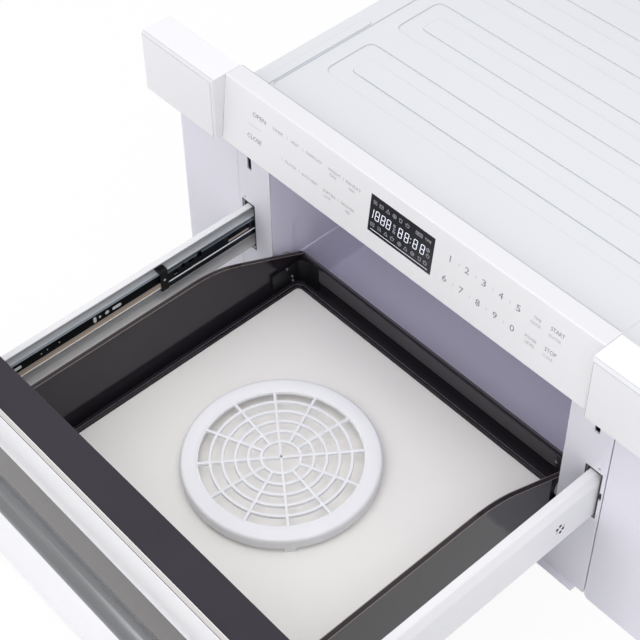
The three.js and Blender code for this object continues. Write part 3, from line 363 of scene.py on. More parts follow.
# ---- pieces --------------------------------------------------------------------
def even_normals(mesh, limit=50.0):
    """Shading normals led by the larger faces, so flat sheets stay flat right up to their rounded edges."""
    mesh.shade_smooth()
    around = [[] for _ in mesh.vertices]
    for face in mesh.polygons:
        for corner in face.vertices:
            around[corner].append(face.index)
    normals = [face.normal.copy() for face in mesh.polygons]
    weighted = [face.normal * face.area for face in mesh.polygons]
    least = math.cos(math.radians(limit))
    corners = [None] * len(mesh.loops)
    for face in mesh.polygons:
        own = normals[face.index]
        for loop, corner in zip(face.loop_indices, face.vertices):
            total = Vector()
            for other in around[corner]:
                if own.dot(normals[other]) > least:
                    total += weighted[other]
            corners[loop] = total.normalized() if total.length > 0 else own
    mesh.normals_split_custom_set(corners)


def keep(mesh_or_bmesh, name, body, finish, replaced=(), smooth=35.0, even=False):
    """Stores a mesh as one piece that rides on a body, with its finish and smooth shading."""
    if isinstance(mesh_or_bmesh, bmesh.types.BMesh):
        mesh = bpy.data.meshes.new(name)
        mesh_or_bmesh.to_mesh(mesh)
        mesh_or_bmesh.free()
    else:
        mesh = mesh_or_bmesh
        mesh.name = name
    piece = bpy.data.objects.new(name, mesh)
    bpy.context.scene.collection.objects.link(piece)
    mesh.materials.clear()
    mesh.materials.append(finish)
    if even:
        even_normals(mesh)
    elif smooth:
        mesh.shade_smooth()
        mesh.set_sharp_from_angle(angle=math.radians(smooth))
    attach(piece, body)
    if replaced:
        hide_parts(*replaced)
    return piece


def softened(node, body, finish, width, segments=2, angle=28):
    """A CAD node's shape with its edges rounded, so that they catch the light."""
    bm = bmesh.new()
    bm.from_mesh(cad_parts[node].data)
    bmesh.ops.remove_doubles(bm, verts=bm.verts, dist=2e-6)
    bmesh.ops.dissolve_limit(
        bm, angle_limit=math.radians(1.5), verts=bm.verts, edges=bm.edges, delimit=set(),
    )
    edges = [
        edge for edge in bm.edges
        if len(edge.link_faces) == 2 and edge.calc_face_angle(0.0) > math.radians(angle)
    ]
    bmesh.ops.bevel(
        bm, geom=edges, offset=width * MM, offset_type="OFFSET", segments=segments,
        profile=0.5, affect="EDGES", clamp_overlap=True,
    )
    bmesh.ops.recalc_face_normals(bm, faces=bm.faces)
    return keep(bm, node + "_finished", body, finish, (node,), even=True)


def lathed(profile, segments, axis, centre):
    """A turned shape from (radius, height) pairs in millimetres, closed if it starts off the axis."""
    bm = bmesh.new()
    closed = profile[0][0] > 0
    rings = []
    for radius, height in profile:
        if radius == 0:
            rings.append([bm.verts.new((0, 0, height * MM))])
            continue
        ring = []
        for i in range(segments):
            turn = 2 * math.pi * i / segments
            ring.append(bm.verts.new((
                radius * math.cos(turn) * MM, radius * math.sin(turn) * MM, height * MM,
            )))
        rings.append(ring)
    pairs = list(zip(rings, rings[1:]))
    if closed:
        pairs.append((rings[-1], rings[0]))
    for low, high in pairs:
        for i in range(segments):
            j = (i + 1) % segments
            corners = [low[i % len(low)], low[j % len(low)], high[j % len(high)], high[i % len(high)]]
            unique = list(dict.fromkeys(corners))
            if len(unique) > 2:
                bm.faces.new(unique)
    turn = {
        "x": Matrix.Rotation(math.radians(90), 4, "Y"),
        "y": Matrix.Rotation(math.radians(-90), 4, "X"),
        "z": Matrix.Identity(4),
    }[axis]
    bmesh.ops.transform(bm, matrix=Matrix.Translation(centre) @ turn, verts=bm.verts)
    bmesh.ops.recalc_face_normals(bm, faces=bm.faces)
    return bm


def prism_into(bm, points, to_space, start, end):
    """Adds a flat outline pushed from start to end; to_space turns (u, v, w) into a point in metres."""
    low = [bm.verts.new(to_space(u, v, start)) for u, v in points]
    high = [bm.verts.new(to_space(u, v, end)) for u, v in points]
    bm.faces.new(low)
    bm.faces.new(list(reversed(high)))
    for i in range(len(points)):
        j = (i + 1) % len(points)
        bm.faces.new([low[i], high[i], high[j], low[j]])


def extruded(points, to_space, start, end, bevel=0.0):
    """A flat outline pushed from start to end; to_space turns (u, v, w) into a point in metres."""
    bm = bmesh.new()
    prism_into(bm, points, to_space, start, end)
    bmesh.ops.recalc_face_normals(bm, faces=bm.faces)
    if bevel:
        edges = [e for e in bm.edges if e.calc_face_angle(0.0) > math.radians(40)]
        bmesh.ops.bevel(
            bm, geom=edges, offset=bevel * MM, offset_type="OFFSET", segments=2, profile=0.5,
            affect="EDGES", clamp_overlap=True,
        )
        bmesh.ops.recalc_face_normals(bm, faces=bm.faces)
    return bm


def rectangle(low_u, high_u, low_v, high_v):
    return [(low_u, low_v), (high_u, low_v), (high_u, high_v), (low_u, high_v)]


def rounded_box(u0, u1, v0, v1, radius, steps=5):
    """Outline of a rectangle with round corners."""
    points = []
    corners = ((u1 - radius, v1 - radius, 0), (u0 + radius, v1 - radius, 90), (u0 + radius, v0 + radius, 180),
               (u1 - radius, v0 + radius, 270))
    for cu, cv, start in corners:
        for i in range(steps + 1):
            turn = math.radians(start + 90 * i / steps)
            points.append((cu + radius * math.cos(turn), cv + radius * math.sin(turn)))
    return points


# ---- slide finishes, zone by zone: painted shade and reflection on the web, painted highlight on the bead, painted reflection on the rolled lip ---
WEB_SHADE_AND_REFLECTION, BEAD_HIGHLIGHT_TONE, LIP_REFLECTION, WARM_REFLECTION = "252a33", "eceff1", "99a5af", "f0d2b8"
# middle member: painted shade and reflection on the web, painted highlights on the beads, painted reflection
# on the lips
MIDDLE_STRIP = metal_with_painted_bands("slide_painted_shade_and_highlights", 161.8, 191.2, [
    (0.0, WEB_SHADE_AND_REFLECTION), (0.25, BEAD_HIGHLIGHT_TONE), (0.33, WEB_SHADE_AND_REFLECTION), (0.74, LIP_REFLECTION), (0.86, WEB_SHADE_AND_REFLECTION),
    (0.9, LIP_REFLECTION), (0.95, BEAD_HIGHLIGHT_TONE),
])


# patch masks: a white painted highlight on the lower lip and a painted reflection on the upper edge
def lower_lip_highlight(made):
    return made.along("X").size().below(0.2556) * made.along("Z").below(0.172)


def upper_edge_reflection(made):
    return made.along("X").size().below(0.2566) * made.along("Z").above(0.1866)


# outer member: warm painted reflection low down, painted shade on the web, painted highlight along the top
DRAWER_STRIP = metal_with_painted_bands("slide_strip_painted_highlights", 164.4, 187.4, [
    (0.0, WARM_REFLECTION), (0.11, WEB_SHADE_AND_REFLECTION), (0.98, BEAD_HIGHLIGHT_TONE),
], [(lower_lip_highlight, "ffffff"), (upper_edge_reflection, LIP_REFLECTION)], metallic=0.1)

# ---- carried-over solids with rounded edges ------------------------------------------
CABINET_SHEET = (
    ("front_frame", "front_paint", FRONT, 0.5),
    ("side_filler_left", "front_paint", FRONT, 0.6),
    ("side_filler_right", "front_paint", FRONT, 0.6),
    ("cavity_liner", "liner_enamel", LINER, 0.6),
    ("panel_end_left", "ear_plastic", EAR_WHITE, 1.0),
    ("panel_end_right", "ear_plastic", EAR_WHITE, 1.0),
    ("control_fascia", "ear_plastic", PANEL_WHITE, 0.8),
    ("display_window", "display_pane", DISPLAY, 0.25),
    ("top_cover", "cover_steel", COVER, 0.55),
    ("back_panel", "zinc_plate", ZINC, 0.3),
    ("base_tray", "zinc_plate", ZINC, 0.4),
    ("side_panel_left", "zinc_plate", ZINC, 0.3),
    ("side_panel_right", "zinc_plate", ZINC, 0.3),
    ("supply_gland", "black_plastic", BLACK_PLASTIC, 0.5),
)
DRAWER_SHEET = (
    ("drawer_front", "white_enamel", WHITE, 1.0),
    ("door_body", "black_enamel", BLACK, 0.8),
    ("window_glass", "dark_glass", GLASS, 0.3),
    ("inner_pane", "dark_glass", PANE, 0.3),
    ("drawer_pan", "black_enamel", PAN_BLACK, 0.5),
    ("ceramic_floor", "ceramic_plate", CERAMIC, 0.8),
    ("carrier_rail_left", "white_enamel", WHITE, 0.5),
    ("carrier_rail_right", "white_enamel", WHITE, 0.5),
    ("slide_outer_left", "zinc_plate", DRAWER_STRIP, 0.3),
    ("slide_outer_right", "zinc_plate", DRAWER_STRIP, 0.3),
    ("corner_bracket_left", "black_plastic", BLACK_PLASTIC, 0.5),
    ("corner_bracket_right", "black_plastic", BLACK_PLASTIC, 0.5),
    ("guide_pad_left", "grey_plastic", GREY_PLASTIC, 0.4),
    ("guide_pad_right", "grey_plastic", GREY_PLASTIC, 0.4),
    ("latch_tongue_left", "grey_plastic", GREY_PLASTIC, 0.4),
    ("latch_tongue_right", "grey_plastic", GREY_PLASTIC, 0.4),
)
for node, slot, finish, width in CABINET_SHEET:
    softened(node, "cabinet", finish, width)
for node, slot, finish, width in DRAWER_SHEET:
    softened(node, "drawer", finish, width)
for side, tag in SIDES:
    softened(f"slide_middle_{tag}", f"middle_{tag}", MIDDLE_STRIP, 0.3)
    softened(f"slide_cap_{tag}", f"middle_{tag}", BLACK_PLASTIC, 0.4)

INNER_FINISHES = {
    "slide_carrier_left": ZINC, "slide_carrier_right": ZINC, "slide_inner_left": ZINC,
    "slide_inner_right": ZINC, "panel_support": ZINC, "control_board": BOARD,
    "drive_motor": DARK_STEEL, "latch_switch_left": BLACK_PLASTIC, "latch_switch_right": BLACK_PLASTIC,
    "waveguide": ALUMINIUM, "magnetron": COPPER, "stirrer_shield": WHITE_PLASTIC,
    "stirrer_motor": DARK_STEEL, "power_transformer": DARK_STEEL, "high_voltage_capacitor": ALUMINIUM,
    "blower_shroud": BLACK_PLASTIC, "blower_motor": DARK_STEEL, "blower_fan": GREY_PLASTIC,
    "mode_stirrer": ALUMINIUM, "drive_rack": BLACK_PLASTIC, "drive_pinion": WHITE_PLASTIC,
}
for node, finish in INNER_FINISHES.items():
    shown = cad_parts[node]
    if not shown.material_slots:
        shown.data.materials.append(finish)
    for place in shown.material_slots:
        place.material = finish

# ---- node trees for what repeats or follows a path ----------------------------------------
class Growth:
    """One Geometry Nodes tree: named inputs first, then nodes, ending in real geometry with its finish."""

    def __init__(self, name, sizes):
        self.tree = bpy.data.node_groups.new(name, "GeometryNodeTree")
        self.socket("Geometry", "INPUT", "NodeSocketGeometry")
        self.keys = {}
        for label, value in sizes.items():
            kind = "NodeSocketVector" if isinstance(value, tuple) else "NodeSocketFloat"
            made = self.socket(label, "INPUT", kind)
            made.default_value = value
            self.keys[label] = made.identifier
        self.keys["Finish"] = self.socket("Finish", "INPUT", "NodeSocketMaterial").identifier
        self.socket("Geometry", "OUTPUT", "NodeSocketGeometry")
        self.given = self.tree.nodes.new("NodeGroupInput").outputs

    def socket(self, label, way, kind):
        return self.tree.interface.new_socket(label, in_out=way, socket_type=kind)

    def add(self, kind, settings=None, sockets=None):
        node = self.tree.nodes.new(kind)
        for key, value in (settings or {}).items():
            setattr(node, key, value)
        for key, value in (sockets or {}).items():
            if isinstance(value, bpy.types.NodeSocket):
                self.tree.links.new(value, node.inputs[key])
            else:
                node.inputs[key].default_value = value
        return node

    def finish(self, geometry):
        real = self.add("GeometryNodeRealizeInstances", None, {"Geometry": geometry})
        coloured = self.add("GeometryNodeSetMaterial", None, {
            "Geometry": real.outputs["Geometry"], "Material": self.given["Finish"],
        })
        end = self.tree.nodes.new("NodeGroupOutput")
        self.tree.links.new(coloured.outputs["Geometry"], end.inputs[0])

    def grow(self, seed, name, body, slot, finish, sizes, smooth=40.0):
        """Runs the tree on a seed mesh and keeps the result as one plain piece."""
        holder = bpy.data.objects.new(name + "_seed", seed)
        bpy.context.scene.collection.objects.link(holder)
        modifier = holder.modifiers.new("growth", "NODES")
        modifier.node_group = self.tree
        for label, value in sizes.items():
            modifier[self.keys[label]] = value
        modifier[self.keys["Finish"]] = finish
        result = bpy.data.meshes.new_from_object(holder.evaluated_get(bpy.context.evaluated_depsgraph_get()))
        bpy.data.objects.remove(holder)
        bpy.data.meshes.remove(seed)
        return keep(result, name, body, finish, smooth=smooth)


def bead_tree():
    """Round bead drawn along every chain of edges of the seed mesh."""
    made = Growth("bead_along_path", {"Bead radius": 0.0005})
    path = made.add("GeometryNodeMeshToCurve", None, {"Mesh": made.given["Geometry"]})
    ring = made.add("GeometryNodeCurvePrimitiveCircle", None, {
        "Resolution": 8, "Radius": made.given["Bead radius"],
    })
    bead = made.add("GeometryNodeCurveToMesh", None, {
        "Curve": path.outputs["Curve"], "Profile Curve": ring.outputs["Curve"], "Fill Caps": True,
    })
    made.finish(bead.outputs["Mesh"])
    return made


def head_tree():
    """Screw or rivet head at every point of the seed mesh: a domed disc with a cross recess."""
    made = Growth("fixing_heads", {
        "Head radius": 0.003, "Head height": 0.002, "Recess width": 0.0009, "Recess length": 0.0032,
        "Turn": (0.0, 0.0, 0.0),
    })
    disc = made.add("GeometryNodeMeshCylinder", {"fill_type": "NGON"}, {
        "Vertices": 16, "Radius": made.given["Head radius"], "Depth": made.given["Head height"],
    })
    dome = made.add("GeometryNodeMeshUVSphere", None, {
        "Segments": 16, "Rings": 8, "Radius": made.given["Head radius"],
    })
    flat = made.add("ShaderNodeCombineXYZ", None, {"X": 0.92, "Y": 0.92, "Z": 0.34})
    lift = made.add("ShaderNodeMath", {"operation": "MULTIPLY"}, {0: made.given["Head height"], 1: 0.5})
    raised = made.add("ShaderNodeCombineXYZ", None, {"Z": lift.outputs[0]})
    domed = made.add("GeometryNodeTransform", None, {
        "Geometry": dome.outputs["Mesh"], "Translation": raised.outputs[0], "Scale": flat.outputs[0],
    })
    shaped = made.add("GeometryNodeMeshBoolean", {"operation": "UNION", "solver": "EXACT"})
    made.tree.links.new(disc.outputs["Mesh"], shaped.inputs["Mesh 2"])
    made.tree.links.new(domed.outputs["Geometry"], shaped.inputs["Mesh 2"])
    deep = made.add("ShaderNodeMath", {"operation": "MULTIPLY"}, {0: made.given["Head height"], 1: 1.1})
    high = made.add("ShaderNodeMath", {"operation": "MULTIPLY"}, {0: made.given["Head height"], 1: 0.95})
    place = made.add("ShaderNodeCombineXYZ", None, {"Z": high.outputs[0]})
    for long_way, short_way in (("X", "Y"), ("Y", "X")):
        size = made.add("ShaderNodeCombineXYZ", None, {
            long_way: made.given["Recess length"], short_way: made.given["Recess width"],
            "Z": deep.outputs[0],
        })
        slot_bar = made.add("GeometryNodeMeshCube", None, {"Size": size.outputs[0]})
        put = made.add("GeometryNodeTransform", None, {
            "Geometry": slot_bar.outputs["Mesh"], "Translation": place.outputs[0],
        })
        shaped = made.add("GeometryNodeMeshBoolean", {"operation": "DIFFERENCE", "solver": "EXACT"}, {
            "Mesh 1": shaped.outputs["Mesh"], "Mesh 2": put.outputs["Geometry"],
        })
    points = made.add("GeometryNodeMeshToPoints", None, {"Mesh": made.given["Geometry"]})
    heads = made.add("GeometryNodeInstanceOnPoints", None, {
        "Points": points.outputs["Points"], "Instance": shaped.outputs["Mesh"],
        "Rotation": made.given["Turn"],
    })
    made.finish(heads.outputs["Instances"])
    return made


def ball_tree():
    """A slide ball at every point of the seed mesh."""
    made = Growth("ball_row", {"Ball radius": 0.001})
    ball = made.add("GeometryNodeMeshUVSphere", None, {
        "Segments": 8, "Rings": 5, "Radius": made.given["Ball radius"],
    })
    points = made.add("GeometryNodeMeshToPoints", None, {"Mesh": made.given["Geometry"]})
    row = made.add("GeometryNodeInstanceOnPoints", None, {
        "Points": points.outputs["Points"], "Instance": ball.outputs["Mesh"],
    })
    made.finish(row.outputs["Instances"])
    return made


BEAD, HEAD, BALL = bead_tree(), head_tree(), ball_tree()
FACES = {
    "front": (math.radians(90), 0, 0), "back": (math.radians(-90), 0, 0), "up": (0, 0, 0),
    "down": (math.radians(180), 0, 0), "right": (0, math.radians(90), 0), "left": (0, math.radians(-90), 0),
}


def seed_mesh(chains, joined=True):
    """Seed of points, or of open or closed chains of edges; a chain that ends where it starts is closed."""
    points, edges = [], []
    for chain in chains:
        first = len(points)
        closed = joined and len(chain) > 2 and chain[0] == chain[-1]
        run = chain[:-1] if closed else chain
        points += [spot(*point) for point in run]
        if joined:
            edges += [(first + i, first + i + 1) for i in range(len(run) - 1)]
        if closed:
            edges.append((first + len(run) - 1, first))
    mesh = bpy.data.meshes.new("seed")
    mesh.from_pydata(points, edges, [])
    return mesh


def beads(chains, name, body, slot, finish, radius):
    return BEAD.grow(seed_mesh(chains), name, body, slot, finish, {"Bead radius": radius * MM})


def heads(points, name, body, slot, finish, face, radius=3.0, height=1.6, recess=0.9):
    sizes = {
        "Head radius": radius * MM, "Head height": height * MM, "Recess width": recess * MM,
        "Recess length": radius * 1.15 * MM, "Turn": FACES[face],
    }
    return HEAD.grow(seed_mesh([points], False), name, body, slot, finish, sizes, 30.0)


def both(points):
    """The same points on the left and the right."""
    return [(side * x, y, z) for side, _ in SIDES for x, y, z in points]


def both_chains(chains):
    return [[(side * x, y, z) for x, y, z in chain] for side, _ in SIDES for chain in chains]


# slides: rolled beads in a near-white painted highlight, end-cap rivets and balls on the middle members
BEAD_X, BEAD_Z, BEAD_ENDS = 252.2, 170.2, (-125, 158)
CAP_RIVET_AT = (252.15, -131.9, 177.6)
BALL_X, BALL_Z, BALL_START, BALL_PITCH, BALL_COUNT = 258.5, 188.65, -112, 8.5, 23
for side, tag in SIDES:
    middle = f"middle_{tag}"
    beads([[(side * BEAD_X, y, BEAD_Z) for y in BEAD_ENDS]], f"slide_bead_{tag}", middle, "zinc_plate",
          HIGHLIGHT_BEAD, 0.6)
    rivet_x, rivet_y, rivet_z = CAP_RIVET_AT
    heads([(side * rivet_x, rivet_y, rivet_z)], f"cap_rivet_{tag}", middle, "white_plastic",
          WHITE_PLASTIC, "right" if side < 0 else "left", 1.8, 0.3, 0.25)
    balls = [(side * BALL_X, BALL_START + BALL_PITCH * i, BALL_Z) for i in range(BALL_COUNT)]
    BALL.grow(seed_mesh([balls], False), f"slide_balls_{tag}", middle, "zinc_plate", STEEL,
              {"Ball radius": 1.05 * MM})
# lower lip as a pure white bead: a painted highlight
LOWER_LIP = [(254.7, y, 166.1) for y in (-378, 94)]
beads(both_chains([LOWER_LIP]), "slide_lower_lip", "drawer", "zinc_plate", WHITE_TABS_AND_LIP_HIGHLIGHT, 1.15)

# slides: punched strip in a dark tone that is painted shade, plain strip under it in a warm painted
# reflection, and the white tabs and dots in the punched slots
STRIP_X, STRIP_DEEP, STRIP_ENDS = 254.1, 0.5, (-378, 92)
STRIP_Z, PLAIN_Z = (174.6, 186.9), (167.3, 174.6)
TAB_SLOTS = (
    ((-337, -326), (178.5, 183)), ((-230, -226), (176.5, 185)), ((-222.5, -219.5), (179, 182.5)),
    ((-214, -208.5), (178.5, 183.5)), ((-204, -191.5), (178.5, 183)),
)
TAB_FROM, TAB_TO = STRIP_X + 0.3, STRIP_X - 0.12
DOTS, DOT_HALF = ((-300, 180.5), (-292, 181.5), (-276, 181)), 0.8
strips, plains, tabs = bmesh.new(), bmesh.new(), bmesh.new()
for side, _ in SIDES:
    def place(y, z, x, side=side):
        return spot(side * x, y, z)
    for sheet, heights in ((strips, STRIP_Z), (plains, PLAIN_Z)):
        prism_into(sheet, rectangle(*STRIP_ENDS, *heights), place, STRIP_X + STRIP_DEEP, STRIP_X)
    for (y0, y1), (z0, z1) in TAB_SLOTS:
        tab = rounded_box(y0, y1, z0, z1, min(y1 - y0, z1 - z0) * 0.45, 3)
        prism_into(tabs, tab, place, TAB_FROM, TAB_TO)
    for y, z in DOTS:
        dot = rounded_box(y - DOT_HALF, y + DOT_HALF, z - DOT_HALF, z + DOT_HALF, 0.7, 3)
        prism_into(tabs, dot, place, TAB_FROM, TAB_TO)
for sheet, name, slot, finish in (
    (strips, "slide_punched_strips", "dark_steel", PUNCHED_STRIP_SHADE),
    (plains, "slide_plain_strips", "zinc_plate", WARM_REFLECTION_STRIP),
    (tabs, "slide_white_tabs", "white_plastic", WHITE_TABS_AND_LIP_HIGHLIGHT),
):
    bmesh.ops.recalc_face_normals(sheet, faces=sheet.faces)
    keep(sheet, name, "drawer", finish, even=True)

# rails: four small holes, drawn as black discs whose black is painted shade, and two dimples on the outer
# face
RAIL_OUTSIDE = 266.9
HOLES = ((-53.1, 172.4), (-48.6, 164.5), (-52, 161), (-57.4, 169.5))
DIMPLES = ((-195, 168.5), (-216, 168.5))
for side, tag in SIDES:
    heads([(side * RAIL_OUTSIDE, y, z) for y, z in HOLES], f"rail_holes_{tag}", "drawer", "black_plastic",
          BLACK_PLASTIC, tag, 1.7, 0.5, 0.4)
    heads([(side * RAIL_OUTSIDE, y, z) for y, z in DIMPLES], f"rail_dimples_{tag}", "drawer",
          "white_enamel", WHITE, tag, 1.9, 0.6, 0.1)

# thin dark bands round the slots that the slides pass through: painted shade of the gaps there
SLOT_U, SLOT_Z, GAP_SHADE = (249.8, 268.2), (138.1, 206.4), 1.5
GAP_SHADE_BARS = (
    (SLOT_U[0] - GAP_SHADE, SLOT_U[0], SLOT_Z[0] - GAP_SHADE, SLOT_Z[1] + GAP_SHADE),
    (SLOT_U[1], SLOT_U[1] + GAP_SHADE, SLOT_Z[0] - GAP_SHADE, SLOT_Z[1] + GAP_SHADE),
    (*SLOT_U, SLOT_Z[0] - GAP_SHADE, SLOT_Z[0]),
    (*SLOT_U, SLOT_Z[1], SLOT_Z[1] + GAP_SHADE),
)
gap_shade = bmesh.new()
for side, _ in SIDES:
    for bar in GAP_SHADE_BARS:
        prism_into(gap_shade, rectangle(*bar), lambda u, z, y, side=side: spot(side * u, y, z), -0.3, -0.02)
bmesh.ops.recalc_face_normals(gap_shade, faces=gap_shade.faces)
keep(gap_shade, "slot_gap_shade", "cabinet", BLACK_PLASTIC, even=True)

# pan: seal bead and trim line round the ceramic plate, painted highlight lines on the folded rim, corner
# screws
PLATE_HALF, PLATE_FRONT, PLATE_BACK, RIDGE_TOP = 200.6, -368.2, 22.6, 97


def loop_round(grow, z, radius):
    """Closed rounded rectangle round the ceramic plate."""
    half = PLATE_HALF + grow
    outline = rounded_box(-half, half, PLATE_FRONT - grow, PLATE_BACK + grow, radius, 6)
    return [(x, y, z) for x, y in outline] + [(*outline[0], z)]


beads([loop_round(1.7, RIDGE_TOP + 0.1, 8)], "plate_seal", "drawer", "black_plastic", GLOSS_SEAL, 1.25)
beads([loop_round(4.3, RIDGE_TOP + 0.1, 10)], "plate_trim_line", "drawer", "black_plastic", TRIM_GREY, 0.45)
PAN_RIM = [
    (-383, 192), (-120, 192), (-104.2, 191.2), (-88.8, 188.6), (-73.7, 184.4), (-59, 178.4), (40, 131.9),
]
RIM_EDGES = (210.8, 216.0)
beads(both_chains([[(x, y, z + 0.05) for y, z in PAN_RIM] for x in RIM_EDGES]), "pan_rim_lines",
      "drawer", "black_enamel", RIM_HIGHLIGHT, 0.3)
PAN_SCREWS = [(-208, 11.5, 127), (-208, 18.9, 110), (-208, 20.2, 102), (187, 40, 114)]
heads(PAN_SCREWS, "pan_corner_screws", "drawer", "zinc_plate", STEEL, "front", 1.9, 1.2, 0.5)

# panel: seam lines on the end blocks and along the rear edge of the leaning front
REAR_LINE = [(x, 1.9, 406.75) for x in (-258, 258)]
END_SEAM = [(379, -39.9, 403.4), (262.9, -39.9, 403.4), (262.9, -39.9, 328)]
END_TOP_LINE = [(379, -37.2, 406.8), (259.9, -37.2, 406.8)]
beads([REAR_LINE], "panel_rear_line", "cabinet", "ear_plastic", SEAM_GREY, 0.45)
beads(both_chains([END_SEAM]), "panel_end_seams", "cabinet", "ear_plastic", SEAM_GREY, 0.32)
beads(both_chains([END_TOP_LINE]), "panel_end_top_lines", "cabinet", "ear_plastic", SEAM_PALE, 0.35)

# drawer front: thin line, cream strip on the top face whose darker tone is painted shade, and dark gap behind
# the white top edge
FRONT_HALF = 376
TOP_LINE = [(x, -428.9, 317.25) for x in (-FRONT_HALF, FRONT_HALF)]
TOP_GAP = [(x, -423.7, 315.9) for x in (-317, 317)]
beads([TOP_LINE], "front_top_line", "drawer", "white_enamel", EDGE_GREY, 0.5)
strip = extruded(rectangle(-428.2, -424.6, 317.2, 317.62), lambda y, z, x: spot(x, y, z),
                 -FRONT_HALF, FRONT_HALF, 0.12)
keep(strip, "front_top_strip", "drawer", TOP_FACE_SHADE, even=True)
beads([TOP_GAP], "front_top_gap", "drawer", "black_enamel", GLOSS_SEAL, 0.8)

# sheet-metal screws of the cabinet
BACK_FACE, SIDE_FACE = 558.6, 272.8
BACK_SCREWS = ((60, 350), (180, 350), (262, 250), (262, 120), (180, 40))
SIDE_SCREWS = ((40, 345), (200, 345), (360, 345), (520, 345), (40, 30), (520, 30))
SCREW_SIZES = (3.6, 2.2, 1.0)
heads(both([(x, BACK_FACE, z) for x, z in BACK_SCREWS]), "back_screws", "cabinet", "zinc_plate", STEEL,
      "back", *SCREW_SIZES)
for side, tag in SIDES:
    heads([(side * SIDE_FACE, y, z) for y, z in SIDE_SCREWS], f"side_screws_{tag}", "cabinet",
          "zinc_plate", STEEL, tag, *SCREW_SIZES)

# ---- printed words and signs on the panel ----------------------------------------------
PANEL_TOP, PANEL_TOP_FRONT = 407, -20.5
PANEL_LEAN = 10 / 84.5
LEAN_LENGTH = math.hypot(1, PANEL_LEAN)
INK_DEPTH = 0.12


def on_panel(x, z, proud):
    """A point on the leaning face of the panel, or `proud` millimetres in front of it."""
    y = PANEL_TOP_FRONT - (PANEL_TOP - z) * PANEL_LEAN
    return spot(x, y - proud / LEAN_LENGTH, z + proud * PANEL_LEAN / LEAN_LENGTH)


def word_mesh(text):
    """Letters as a thin solid mesh, its outline box from 0 to 1 both ways."""
    curve = bpy.data.curves.new("word", "FONT")
    curve.body = text
    curve.resolution_u = 3
    curve.extrude = 0.5
    holder = bpy.data.objects.new("word", curve)
    mesh = bpy.data.meshes.new_from_object(holder)
    bpy.data.objects.remove(holder)
    bpy.data.curves.remove(curve)
    bm = bmesh.new()
    bm.from_mesh(mesh)
    bpy.data.meshes.remove(mesh)
    bmesh.ops.remove_doubles(bm, verts=bm.verts, dist=1e-5)
    low = [min(v.co[i] for v in bm.verts) for i in range(2)]
    high = [max(v.co[i] for v in bm.verts) for i in range(2)]
    for v in bm.verts:
        v.co.x = (v.co.x - low[0]) / (high[0] - low[0]) - 0.5
        v.co.y = (v.co.y - low[1]) / (high[1] - low[1]) - 0.5
    return bm


def merge(target, part):
    """Adds one mesh under work to another, and frees it."""
    mesh = bpy.data.meshes.new("part")
    part.to_mesh(mesh)
    part.free()
    target.from_mesh(mesh)
    bpy.data.meshes.remove(mesh)


def print_words(entries, name, finish, proud=0.0):
    """Words as (text, x, z, width, height), all in one piece on the panel face."""
    sheet = bmesh.new()
    for text, x, z, width, height in entries:
        word = word_mesh(text)
        for v in word.verts:
            v.co = on_panel(x + v.co.x * width, z + v.co.y * height, proud + (v.co.z + 0.3) * INK_DEPTH)
        merge(sheet, word)
    bmesh.ops.recalc_face_normals(sheet, faces=sheet.faces)
    return keep(sheet, name, "cabinet", finish, smooth=0)


def strokes(lines, name, finish, proud=0.0):
    """Signs drawn with straight strokes, each a list of (x, z) points and a width."""
    sheet = bmesh.new()
    for points, width in lines:
        for (x0, z0), (x1, z1) in zip(points, points[1:]):
            length = math.hypot(x1 - x0, z1 - z0)
            ux, uz = (x1 - x0) / length, (z1 - z0) / length
            nx, nz = -uz * width / 2, ux * width / 2
            ex, ez = ux * width * 0.3, uz * width * 0.3
            outline = [
                (x0 - ex + nx, z0 - ez + nz), (x0 - ex - nx, z0 - ez - nz),
                (x1 + ex - nx, z1 + ez - nz), (x1 + ex + nx, z1 + ez + nz),
            ]
            prism_into(sheet, outline, on_panel, proud - 0.2 * INK_DEPTH, proud + 0.8 * INK_DEPTH)
    bmesh.ops.recalc_face_normals(sheet, faces=sheet.faces)
    return keep(sheet, name, "cabinet", finish, smooth=0)


DIGIT_SIZE, ONE_WIDTH = (5.2, 7.6), 1.2
DIGIT_ROWS = (("12345", 74.6, 21.8, 380.1), ("67890", 71.4, 22.0, 353.2))
BOLD_WORDS = [
    ("OPEN", -203.4, 382.2, 20.6, 5.2), ("CLOSE", -208.7, 352.3, 22.4, 5.2),
    ("START", 209.1, 384.2, 16.4, 4.8), ("STOP", 206.2, 357.6, 13.6, 4.8),
]
DIGITS = [
    (text, first + i * pitch, z, ONE_WIDTH if text == "1" else DIGIT_SIZE[0], DIGIT_SIZE[1])
    for row, first, pitch, z in DIGIT_ROWS for i, text in enumerate(row)
]
SMALL_WORDS = [
    ("TIMER", -174.2, 382.1, 16.2, 3.3), ("HEAT", -147.2, 382.3, 11.6, 3.3),
    ("DEFROST", -118.5, 382.1, 24.2, 3.3), ("WEIGHT", -88.2, 382.1, 18.6, 3.2),
    ("TIME", -90.0, 375.9, 10.4, 2.9), ("REHEAT", -60.1, 382.3, 21.6, 3.2),
    ("HIGH", -62.1, 376.1, 8.2, 2.9), ("CLOCK", -151.1, 352.9, 18.0, 3.3),
    ("AUTO HEAT", -122.1, 352.6, 24.6, 3.3), ("SOFTEN", -92.4, 352.4, 18.2, 3.2),
    ("LOW", -94.3, 346.2, 9.6, 2.9), ("DRAWER", -65.0, 352.7, 19.2, 3.2),
    ("MED", -64.1, 346.4, 6.6, 2.9), ("TIME", 184.6, 383.2, 9.0, 3.3),
    ("CLOCK", 183.8, 376.4, 12.4, 3.3), ("POWER", 182.2, 356.6, 14.4, 3.5),
    ("LEVEL", 182.6, 349.9, 12.4, 3.5),
]
PALE_WORDS = [("ENTER", 207.6, 375.4, 14.6, 3.4), ("CLEAR", 204.4, 349.6, 12.4, 3.4)]
print_words(BOLD_WORDS, "panel_words_bold", DARK_INK)
